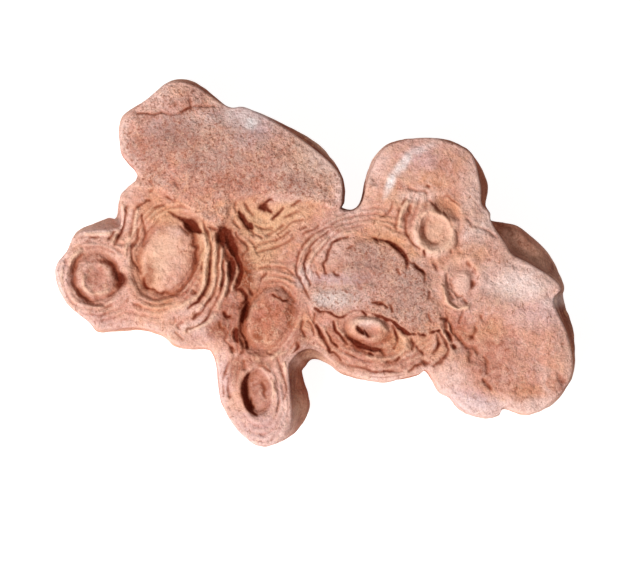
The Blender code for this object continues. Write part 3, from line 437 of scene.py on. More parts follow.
    ((6.4, -36.0, 1.4, 0.5), (9.2, -38.4, 1.4, 0.5), (12.0, -40.0, 1.4, 0.5), (14.8, -40.8, 1.5, 0.5),
     (16.8, -41.1, 1.8, 0.5), (19.2, -41.6, 2.1, 0.5), (21.2, -42.4, 2.1, 0.5), (22.6, -43.0, 2.2, 0.5),
     (25.4, -43.1, 2.7, 0.5), (27.5, -42.8, 3.2, 0.5), (29.7, -42.8, 2.7, 0.5), (31.6, -43.0, 1.8, 0.5),
     (34.4, -42.8, 1.2, 0.5)),
    ((2.8, -36.4, 1.0, 0.5), (9.2, -41.6, 1.0, 0.5), (17.2, -44.8, 1.0, 0.5), (26.0, -45.6, 1.0, 0.5),
     (35.2, -44.4, 1.0, 0.5)),
    ((38.0, -30.0, 1.7, 0.5), (38.4, -31.4, 2.5, 0.7), (38.8, -32.6, 2.5, 0.7), (38.4, -34.0, 1.7, 0.5)),
    ((37.2, -42.6, 2.2, 0.5), (38.2, -42.0, 2.7, 0.5), (39.4, -40.8, 2.7, 0.5), (40.4, -40.4, 2.7, 0.5),
     (41.8, -40.0, 2.4, 0.5)),
    ((40.1, -33.0, 2.5, 0.5), (41.0, -34.4, 2.5, 0.5), (42.4, -35.6, 3.0, 0.5), (42.8, -36.2, 2.2, 0.5)),
    ((42.6, -39.0, 3.4, 0.8), (43.6, -39.6, 3.3, 0.8), (44.8, -39.6, 2.1, 0.6)),
    ((48.4, -28.4, 2.0, 0.5), (48.6, -30.4, 2.8, 0.6), (48.8, -31.8, 3.6, 0.7), (48.4, -33.2, 3.3, 0.6),
     (47.8, -34.4, 2.7, 0.7), (46.8, -35.4, 2.2, 0.7)),
    ((49.2, -27.4, 2.5, 0.5), (50.0, -28.8, 2.8, 0.5), (51.2, -30.4, 3.3, 0.5), (51.8, -31.8, 3.9, 0.5),
     (52.1, -33.0, 3.3, 0.5), (52.7, -34.0, 3.0, 0.5), (52.4, -35.0, 2.7, 0.5)),
    ((51.6, -26.6, 3.6, 0.5), (52.6, -27.8, 4.5, 0.7), (53.2, -29.0, 4.8, 0.7), (53.7, -30.2, 4.5, 0.6),
     (54.2, -31.2, 2.4, 0.5)),
    ((49.6, -21.8, 2.2, 0.5), (50.6, -21.8, 2.8, 0.6), (51.8, -22.4, 4.2, 0.7), (51.5, -23.4, 3.3, 0.7),
     (51.7, -24.6, 3.3, 0.7), (52.0, -25.6, 2.8, 0.6)),
    ((52.6, -23.0, 1.7, 0.5), (53.5, -24.4, 3.3, 0.6), (53.8, -26.0, 3.6, 0.6), (54.2, -27.4, 3.0, 0.5),
     (54.6, -28.2, 2.7, 0.5)),
    ((55.4, -27.8, 1.1, 0.7), (57.0, -30.0, 1.4, 0.8), (58.9, -32.2, 1.3, 0.8), (60.6, -33.4, 1.4, 0.8),
     (62.8, -33.4, 1.2, 0.8), (64.2, -35.6, 1.5, 0.7)),
    ((54.6, -32.6, 3.9, 0.8), (55.0, -33.2, 4.8, 0.9)),
    ((52.4, -35.4, 2.1, 0.6), (51.2, -37.2, 2.7, 0.7), (50.0, -38.0, 2.4, 0.7), (49.6, -39.0, 2.5, 0.8),
     (48.4, -39.6, 2.0, 0.7), (47.0, -40.6, 1.8, 0.6)),
    ((58.3, -19.0, 1.2, 0.5), (57.8, -20.8, 1.6, 0.5), (57.4, -22.0, 1.6, 0.5), (57.0, -23.4, 1.2, 0.5)),
    # The whorl.
    ((52.1, -4.2, 1.1, 0.5), (52.0, -5.8, 1.5, 0.7), (52.4, -7.6, 1.2, 0.9), (53.0, -9.8, 1.2, 0.6)),
    ((53.3, -6.6, 1.7, 0.7), (53.5, -8.1, 1.5, 0.6), (54.4, -9.8, 1.2, 0.7)),
    ((52.8, -11.4, 1.2, 0.5), (53.6, -12.5, 1.6, 0.6), (54.3, -13.5, 1.0, 0.8)),
    ((54.2, -10.8, 1.1, 0.4), (55.0, -11.4, 1.4, 0.4), (56.0, -12.9, 1.3, 0.6), (57.7, -13.1, 0.9, 0.5)),
    ((53.3, -15.2, 0.8, 0.5), (54.7, -16.5, 0.9, 0.5), (56.6, -17.5, 0.7, 0.5)),
    ((58.5, -14.5, 1.0, 0.4), (59.3, -15.0, 1.2, 0.5), (60.0, -16.3, 0.9, 0.5)),
    ((60.2, 0.4, 1.5, 0.5), (60.6, -0.4, 1.7, 0.6), (61.3, -1.3, 1.1, 0.5)),
    ((62.8, -1.8, 0.9, 0.5), (63.3, -2.6, 1.2, 0.5), (62.5, -3.4, 1.5, 0.5)),
    ((62.0, -7.2, 1.7, 0.6), (62.4, -8.2, 2.2, 1.0), (62.1, -9.4, 1.6, 0.6)),
    ((50.1, -10.2, 1.1, 0.5), (50.3, -10.9, 1.4, 0.5), (50.5, -12.7, 1.0, 0.4), (50.7, -14.2, 1.0, 0.4)),
    ((51.6, -16.8, 0.8, 0.4), (52.8, -17.5, 1.0, 0.4), (53.9, -18.0, 1.1, 0.4)),
    ((55.2, -18.9, 0.7, 0.4), (56.6, -19.1, 0.9, 0.4), (57.8, -19.0, 0.9, 0.4)),
    ((53.7, 4.9, 1.2, 0.5), (53.9, 4.3, 1.9, 0.5)),
    ((46.6, -0.4, 1.5, 0.5), (47.2, -0.7, 1.9, 0.6), (47.9, -1.6, 1.6, 0.6), (48.0, -2.6, 1.0, 0.5)),
    # The right lobe.
    ((65.3, -20.7, 1.4, 0.5), (65.7, -21.6, 1.7, 0.5), (66.0, -22.4, 1.0, 0.4)),
    ((63.3, -25.2, 1.4, 0.5), (63.6, -26.2, 2.0, 0.7), (63.0, -27.6, 1.6, 0.5), (62.4, -28.6, 1.8, 0.6),
     (62.0, -29.2, 2.4, 1.0)),
    ((61.5, -35.2, 1.0, 1.0), (61.5, -38.0, 1.1, 1.0)),
    ((66.4, -36.8, 1.0, 0.4), (67.8, -38.4, 1.2, 0.5), (68.2, -40.3, 1.6, 0.8), (68.0, -43.6, 1.7, 0.6)),
    ((66.5, -45.9, 1.7, 0.5), (66.8, -46.6, 2.2, 0.7), (67.8, -47.7, 2.0, 0.5), (68.9, -49.1, 2.4, 0.6),
     (69.5, -50.0, 1.5, 0.5)),
    ((96.4, -44.4, 1.0, 1.0), (98.4, -48.0, 1.2, 1.2), (96.8, -51.2, 0.9, 1.0)),
    # The dish and the ear on the upper right.
    ((30.7, 24.3, 1.2, 0.4), (30.3, 22.8, 1.5, 0.4), (30.0, 21.6, 1.9, 0.5), (29.4, 20.8, 2.0, 0.5),
     (28.4, 19.6, 1.3, 0.5), (25.6, 18.0, 0.9, 0.4)),
    ((35.7, 25.6, 1.3, 0.4), (34.9, 24.3, 1.8, 0.4), (34.3, 23.2, 1.8, 0.4)),
    ((33.3, 21.8, 1.5, 0.4), (33.0, 20.8, 1.9, 0.4), (32.7, 19.2, 1.8, 0.4), (32.2, 17.4, 1.8, 0.5),
     (32.0, 15.6, 1.7, 0.5), (31.6, 14.3, 2.0, 0.5), (32.1, 13.6, 1.7, 0.5)),
    ((37.5, 22.8, 1.3, 0.5), (37.0, 20.8, 2.0, 0.6), (37.4, 19.8, 1.6, 0.5), (36.2, 19.0, 2.1, 0.6),
     (35.5, 17.8, 1.8, 0.8), (35.8, 16.1, 2.4, 0.5), (35.7, 13.9, 2.0, 0.5), (35.7, 12.3, 2.4, 0.5),
     (36.4, 10.8, 3.0, 0.5), (37.6, 9.0, 2.2, 0.4), (38.6, 7.6, 2.8, 0.4), (40.0, 6.5, 2.0, 0.4),
     (41.3, 5.6, 1.8, 0.4)),
    ((42.9, 4.8, 3.2, 0.5), (43.1, 3.9, 3.2, 0.5), (43.4, 3.0, 1.4, 0.5)),
    ((44.2, 30.6, 2.6, 0.5), (44.9, 30.2, 3.0, 0.5)),
    ((37.2, 29.6, 1.0, 0.5), (38.4, 29.1, 1.3, 0.5), (40.0, 28.6, 1.3, 0.5), (42.2, 28.5, 1.2, 0.5),
     (43.3, 28.3, 1.5, 0.5), (43.9, 27.7, 1.7, 0.5)),
    ((45.3, 24.8, 1.3, 0.5), (46.4, 23.4, 2.1, 0.5), (47.3, 22.6, 2.0, 0.5), (48.4, 21.1, 1.6, 0.9),
     (49.7, 20.0, 1.5, 0.6)),
    ((50.7, 20.1, 2.0, 0.5), (51.6, 18.8, 1.8, 0.5), (52.7, 17.7, 1.8, 0.6), (53.6, 16.3, 1.3, 0.5),
     (54.0, 14.8, 1.1, 0.5)),
    ((51.3, 26.5, 1.3, 0.5), (52.7, 26.2, 2.2, 0.5), (54.0, 24.9, 2.2, 0.5), (55.3, 24.1, 2.3, 0.5),
     (56.7, 23.1, 1.6, 0.5)),
    ((44.4, 17.4, 0.7, 0.8), (43.6, 16.0, 0.9, 0.8), (43.3, 14.6, 1.1, 0.8), (43.1, 12.5, 1.2, 0.7),
     (43.4, 10.6, 1.1, 0.6), (44.7, 9.0, 1.1, 0.6), (46.4, 8.0, 0.9, 0.6), (48.4, 7.8, 0.7, 0.7)),
    ((55.5, 13.0, 0.8, 0.5), (56.1, 11.6, 1.2, 0.6), (56.3, 10.0, 1.3, 0.6), (56.5, 8.1, 1.2, 0.5),
     (55.5, 6.3, 1.0, 0.6)),
    ((31.2, 48.0, 0.6, 0.5), (34.8, 48.8, 0.7, 0.5), (38.8, 48.4, 0.7, 0.5), (44.0, 48.8, 0.6, 0.5)),
    ((60.0, 17.6, 0.7, 0.5), (62.8, 14.8, 0.7, 0.5), (67.6, 13.2, 0.7, 0.5), (72.0, 10.0, 0.6, 0.5)),
    # The knob on the left lobe.
    ((-92.6, 6.2, 0.8, 0.5), (-90.8, 6.4, 0.8, 0.5), (-88.4, 6.4, 0.9, 0.5), (-85.9, 6.5, 1.3, 0.5),
     (-84.4, 6.2, 1.4, 0.5), (-83.2, 5.6, 1.3, 0.5), (-81.9, 5.0, 1.3, 0.5), (-80.6, 4.4, 1.3, 0.6),
     (-79.6, 3.9, 0.9, 0.5)),
    ((-92.3, 3.7, 1.3, 0.5), (-93.5, 2.5, 2.1, 0.7), (-94.5, 1.5, 1.8, 0.8), (-95.2, 0.2, 1.8, 1.0),
     (-95.6, -1.6, 2.0, 1.2), (-95.8, -3.8, 1.8, 1.1), (-95.4, -5.4, 1.8, 0.9), (-95.6, -7.3, 1.5, 1.1),
     (-95.3, -9.0, 1.3, 0.8), (-94.1, -10.5, 1.8, 0.8), (-93.3, -11.8, 2.0, 0.9),
     (-92.0, -13.2, 2.0, 1.0), (-90.5, -14.2, 2.1, 1.0), (-89.5, -15.1, 1.7, 0.8),
     (-88.2, -15.8, 1.3, 0.7), (-87.2, -16.4, 1.1, 0.7), (-85.0, -16.2, 0.9, 0.6),
     (-83.4, -17.0, 1.0, 0.7), (-81.2, -16.6, 0.8, 0.7)),
    ((-90.0, 0.8, 0.8, 1.0), (-88.8, 0.9, 1.0, 1.2), (-86.7, 1.1, 1.3, 1.2), (-85.5, 1.1, 1.8, 0.9),
     (-84.0, 0.8, 2.2, 1.0), (-82.3, 0.5, 2.0, 1.0), (-80.6, -0.2, 2.0, 1.0), (-79.6, -1.2, 2.4, 1.0),
     (-79.3, -3.1, 3.1, 1.1), (-78.5, -4.4, 3.5, 1.3), (-77.5, -5.6, 4.2, 1.8), (-77.0, -7.1, 4.2, 1.8),
     (-77.7, -8.7, 3.5, 1.4), (-78.1, -10.1, 2.5, 1.1), (-79.0, -11.1, 1.8, 0.7),
     (-80.0, -11.8, 1.8, 0.7), (-81.7, -12.7, 1.0, 0.6)),
    ((-99.2, 1.6, 1.1, 0.5), (-99.0, 0.4, 1.2, 0.5), (-99.0, -0.8, 0.8, 0.5)),
    ((-87.8, -11.2, 0.7, 0.7), (-87.0, -13.2, 0.7, 0.7)),
    # The pit head on the lower lobe.
    ((-26.4, -43.7, 2.8, 0.5), (-27.1, -45.0, 4.6, 0.7), (-27.9, -46.7, 5.8, 1.0),
     (-28.3, -48.8, 6.0, 1.2), (-28.3, -50.9, 6.0, 1.2), (-27.8, -53.1, 6.0, 1.1),
     (-27.4, -54.9, 6.0, 1.0), (-26.7, -56.8, 6.0, 0.9), (-25.8, -58.2, 5.8, 0.8),
     (-24.5, -59.6, 4.1, 0.5), (-23.2, -60.3, 2.3, 0.4)),
    ((-25.5, -53.4, 1.8, 0.4), (-25.7, -54.8, 3.0, 0.5), (-25.8, -56.2, 4.1, 0.7),
     (-25.0, -57.2, 3.4, 0.8)),
    ((-21.3, -47.6, 2.1, 0.6), (-20.4, -49.0, 2.4, 0.9), (-20.1, -50.2, 2.2, 0.7),
     (-20.5, -51.5, 2.1, 0.5), (-19.6, -53.4, 1.7, 0.5)),
    ((-24.4, -48.4, 1.1, 0.5), (-22.0, -47.6, 1.1, 0.5)),
    ((-16.0, -47.2, 1.4, 0.4), (-15.7, -49.9, 1.7, 0.5)),
    ((-14.8, -38.2, 1.5, 0.4), (-14.3, -39.8, 1.8, 0.4), (-13.7, -41.6, 2.1, 0.4),
     (-13.1, -44.0, 2.1, 0.4), (-12.1, -46.7, 1.6, 0.4), (-11.4, -50.1, 1.7, 0.4),
     (-11.8, -52.0, 1.5, 0.4), (-12.3, -53.6, 1.6, 0.4)),
    ((-14.2, -54.8, 1.6, 0.4), (-14.8, -56.8, 1.5, 0.4), (-15.3, -58.6, 1.3, 0.4)),
    ((-22.4, -40.9, 1.8, 0.5), (-21.2, -40.8, 2.1, 0.5), (-20.3, -41.1, 2.1, 0.5),
     (-19.2, -41.9, 2.3, 0.5), (-18.1, -42.9, 3.0, 0.5)),
    ((-28.4, -38.8, 1.8, 0.6), (-28.2, -41.6, 1.8, 1.0)),
    ((-34.4, -45.6, 1.7, 0.5), (-34.5, -47.2, 1.6, 0.5), (-34.7, -49.3, 1.7, 0.5),
     (-34.4, -51.2, 1.5, 0.5), (-33.9, -53.2, 1.8, 0.5)),
    ((-36.6, -48.8, 1.4, 0.5), (-36.5, -51.6, 1.6, 0.5)),
    ((-34.2, -39.2, 1.1, 0.4), (-35.3, -41.9, 1.5, 0.4), (-36.0, -44.0, 1.6, 0.5),
     (-36.6, -46.0, 1.1, 0.4)),
    ((-7.9, -35.2, 2.8, 0.5), (-7.2, -36.8, 3.3, 0.6), (-6.7, -37.8, 2.1, 0.5)),
    ((-8.7, -38.0, 2.3, 0.5), (-8.9, -39.6, 3.0, 0.6), (-9.5, -41.0, 3.9, 0.7)),
    # The cap.
    ((-70.4, 59.2, 2.0, 0.5), (-67.2, 59.2, 2.0, 0.5), (-64.0, 58.8, 2.0, 0.5), (-60.8, 59.6, 1.8, 0.5)),
    ((-60.4, 59.6, 1.3, 0.5), (-57.2, 58.8, 1.3, 0.5), (-53.6, 59.2, 1.3, 0.5)),
    ((-53.2, 59.6, 2.9, 0.5), (-51.2, 60.8, 2.9, 0.5), (-49.2, 61.6, 2.6, 0.5)),
    ((-49.2, 62.0, 1.3, 0.5), (-44.4, 62.0, 1.3, 0.5), (-40.0, 62.0, 1.3, 0.5)),
    ((-49.2, 62.0, 1.8, 0.5), (-49.6, 64.8, 1.8, 0.5)),
    ((-65.2, 32.0, 1.2, 0.5), (-64.0, 30.0, 1.2, 0.5), (-65.2, 28.4, 1.2, 0.5)),
    ((-55.6, 32.4, 1.2, 0.5), (-54.4, 30.0, 1.2, 0.5)),
)

# Ridges left standing between grooves, each a course of (x, y, height, half width).
RIDGES = (
    ((-44.8, 11.2, 0.9, 0.7), (-43.7, 8.9, 1.0, 0.8), (-42.8, 6.0, 1.0, 0.8), (-43.2, 1.6, 1.0, 0.8),
     (-43.7, -4.2, 1.0, 0.8), (-44.0, -8.5, 1.0, 0.8), (-45.2, -11.1, 1.0, 0.7), (-46.6, -13.2, 1.0, 0.7),
     (-49.1, -14.6, 1.0, 0.8), (-51.8, -16.4, 0.9, 1.0), (-55.6, -17.5, 0.8, 1.2)),
    ((-40.4, 11.6, 0.8, 0.7), (-39.6, 5.2, 0.9, 0.8), (-40.0, -1.2, 0.9, 0.8), (-40.0, -7.6, 0.9, 0.8),
     (-42.4, -13.6, 0.8, 0.6), (-46.4, -18.4, 0.7, 0.6)),
    ((-35.8, 7.6, 0.9, 0.7), (-36.8, 5.2, 1.0, 0.8), (-37.2, 2.0, 1.0, 0.7), (-37.6, -1.2, 1.0, 0.7),
     (-37.4, -4.8, 0.9, 0.6), (-38.0, -8.8, 0.9, 0.6)),
    ((-35.2, 0.0, 1.0, 0.8), (-34.9, -3.6, 1.1, 0.8), (-35.2, -8.0, 1.1, 0.9), (-36.0, -11.6, 1.1, 0.9),
     (-37.6, -14.8, 0.9, 0.8), (-38.8, -18.0, 0.8, 0.7)),
    ((-30.7, -1.2, 1.0, 0.6), (-31.6, -4.4, 1.1, 0.7), (-32.6, -7.2, 1.0, 0.6), (-33.2, -9.6, 0.9, 0.6)),
    ((-51.6, -27.2, 0.8, 0.7), (-46.8, -25.2, 0.9, 0.9), (-42.8, -23.6, 0.8, 0.7),
     (-39.6, -20.4, 0.7, 0.6)),
    ((-70.4, 20.9, 0.9, 0.7), (-71.3, 18.0, 1.1, 0.8), (-71.6, 15.2, 1.1, 0.8), (-72.2, 12.4, 1.1, 0.7),
     (-73.7, 9.5, 1.1, 0.7), (-74.8, 6.6, 1.0, 0.7), (-75.2, 3.6, 0.7, 0.7)),
    ((-76.4, 22.5, 0.8, 0.7), (-76.6, 19.8, 0.9, 0.7), (-76.9, 17.2, 1.0, 0.7), (-77.2, 15.3, 1.0, 0.7),
     (-77.8, 13.7, 1.0, 0.7), (-78.9, 12.1, 0.9, 0.6), (-79.4, 10.8, 0.9, 0.6), (-80.4, 8.4, 0.8, 0.7)),
    ((-78.6, 19.6, 0.8, 0.6), (-79.0, 16.9, 0.9, 0.7), (-79.6, 15.1, 0.9, 0.7), (-80.7, 13.2, 0.9, 0.7),
     (-82.2, 12.0, 0.9, 0.8), (-84.4, 11.7, 0.8, 0.8), (-87.6, 11.6, 0.8, 0.8), (-90.8, 11.6, 0.7, 0.8)),
    ((-93.0, 4.9, 0.9, 0.6), (-95.0, 3.4, 1.0, 0.7), (-96.2, 1.7, 1.0, 0.7), (-97.0, 0.2, 0.8, 0.6)),
    ((-100.2, -2.0, 0.7, 0.6), (-100.5, -5.2, 0.8, 0.7), (-100.5, -8.4, 0.8, 0.7),
     (-99.8, -11.2, 0.7, 0.6)),
    ((-91.6, -5.2, 0.7, 0.7), (-92.0, -8.8, 0.7, 0.7), (-89.6, -11.6, 0.7, 0.7), (-86.0, -12.0, 0.7, 0.7),
     (-82.4, -11.2, 0.8, 0.7)),
    ((36.2, 24.1, 0.9, 0.8), (35.0, 22.3, 1.0, 0.8), (34.0, 20.1, 1.0, 0.9), (33.4, 17.4, 1.0, 0.9),
     (33.3, 14.5, 0.9, 0.8)),
    ((46.0, 20.2, 0.7, 1.2), (50.0, 19.2, 0.7, 1.2), (53.2, 16.4, 0.8, 1.3), (54.2, 12.4, 0.8, 1.4),
     (53.2, 8.4, 0.9, 1.5), (50.0, 5.4, 1.0, 1.6), (46.0, 5.0, 1.0, 1.6), (42.4, 7.0, 0.9, 1.5),
     (40.2, 10.8, 0.8, 1.4), (39.8, 14.8, 0.7, 1.3), (41.2, 18.4, 0.7, 1.1), (43.6, 19.8, 0.6, 1.0)),
    ((50.3, -9.5, 0.8, 0.7), (51.4, -13.8, 1.0, 0.7), (52.6, -15.8, 1.0, 0.8), (54.5, -17.3, 1.0, 0.8),
     (57.0, -18.0, 1.0, 0.9), (60.4, -17.2, 0.8, 0.8)),
    ((-12.3, -39.7, 1.0, 0.8), (-10.9, -43.5, 1.1, 0.9), (-10.2, -46.7, 1.1, 1.0),
     (-10.2, -49.6, 0.9, 0.9)),
    ((-17.0, -47.2, 0.8, 0.7), (-16.6, -50.9, 0.9, 0.8), (-17.2, -53.6, 0.7, 0.7)),
    ((-17.2, -37.8, 0.7, 0.7), (-15.6, -36.4, 0.8, 0.7), (-13.6, -35.8, 0.8, 0.7),
     (-11.6, -35.2, 0.6, 0.6)),
    ((14.8, -24.8, 0.5, 0.9), (17.6, -22.4, 0.7, 1.1), (21.6, -21.6, 0.7, 1.1), (25.2, -23.2, 0.6, 1.0),
     (27.6, -26.4, 0.5, 0.8)),
    ((34.0, -28.4, 0.4, 0.7), (35.4, -30.0, 0.5, 0.8), (35.8, -32.0, 0.6, 0.9), (35.2, -34.0, 0.5, 0.7),
     (33.6, -36.0, 0.4, 0.7), (30.8, -37.6, 0.4, 0.7), (27.6, -38.2, 0.4, 0.7), (23.6, -37.8, 0.4, 0.7),
     (20.4, -37.0, 0.4, 0.6)),
    ((49.8, -26.0, 0.6, 0.6), (51.0, -28.4, 0.8, 0.7), (52.4, -30.8, 0.7, 0.6)),
    ((52.4, -24.0, 0.6, 0.4), (52.8, -26.0, 0.7, 0.4), (53.4, -27.6, 0.6, 0.4)),
    ((8.4, -23.6, 0.4, 0.5), (8.8, -26.0, 0.4, 0.5), (10.4, -27.6, 0.4, 0.5), (12.4, -28.4, 0.3, 0.5)),
    ((3.2, -25.2, 0.4, 0.6), (4.0, -27.2, 0.5, 0.6), (5.0, -29.2, 0.4, 0.5)),
    ((-6.4, 0.4, 0.3, 0.6), (-4.4, 5.2, 0.4, 0.6), (-1.2, 9.0, 0.4, 0.6), (3.6, 11.6, 0.3, 0.6)),
    ((-2.0, 0.4, 0.4, 0.7), (-0.8, 4.0, 0.5, 0.8), (1.6, 7.2, 0.5, 0.8), (4.8, 9.6, 0.4, 0.7)),
    ((12.4, 11.8, 0.6, 0.6), (15.6, 12.6, 0.6, 0.6)),
)

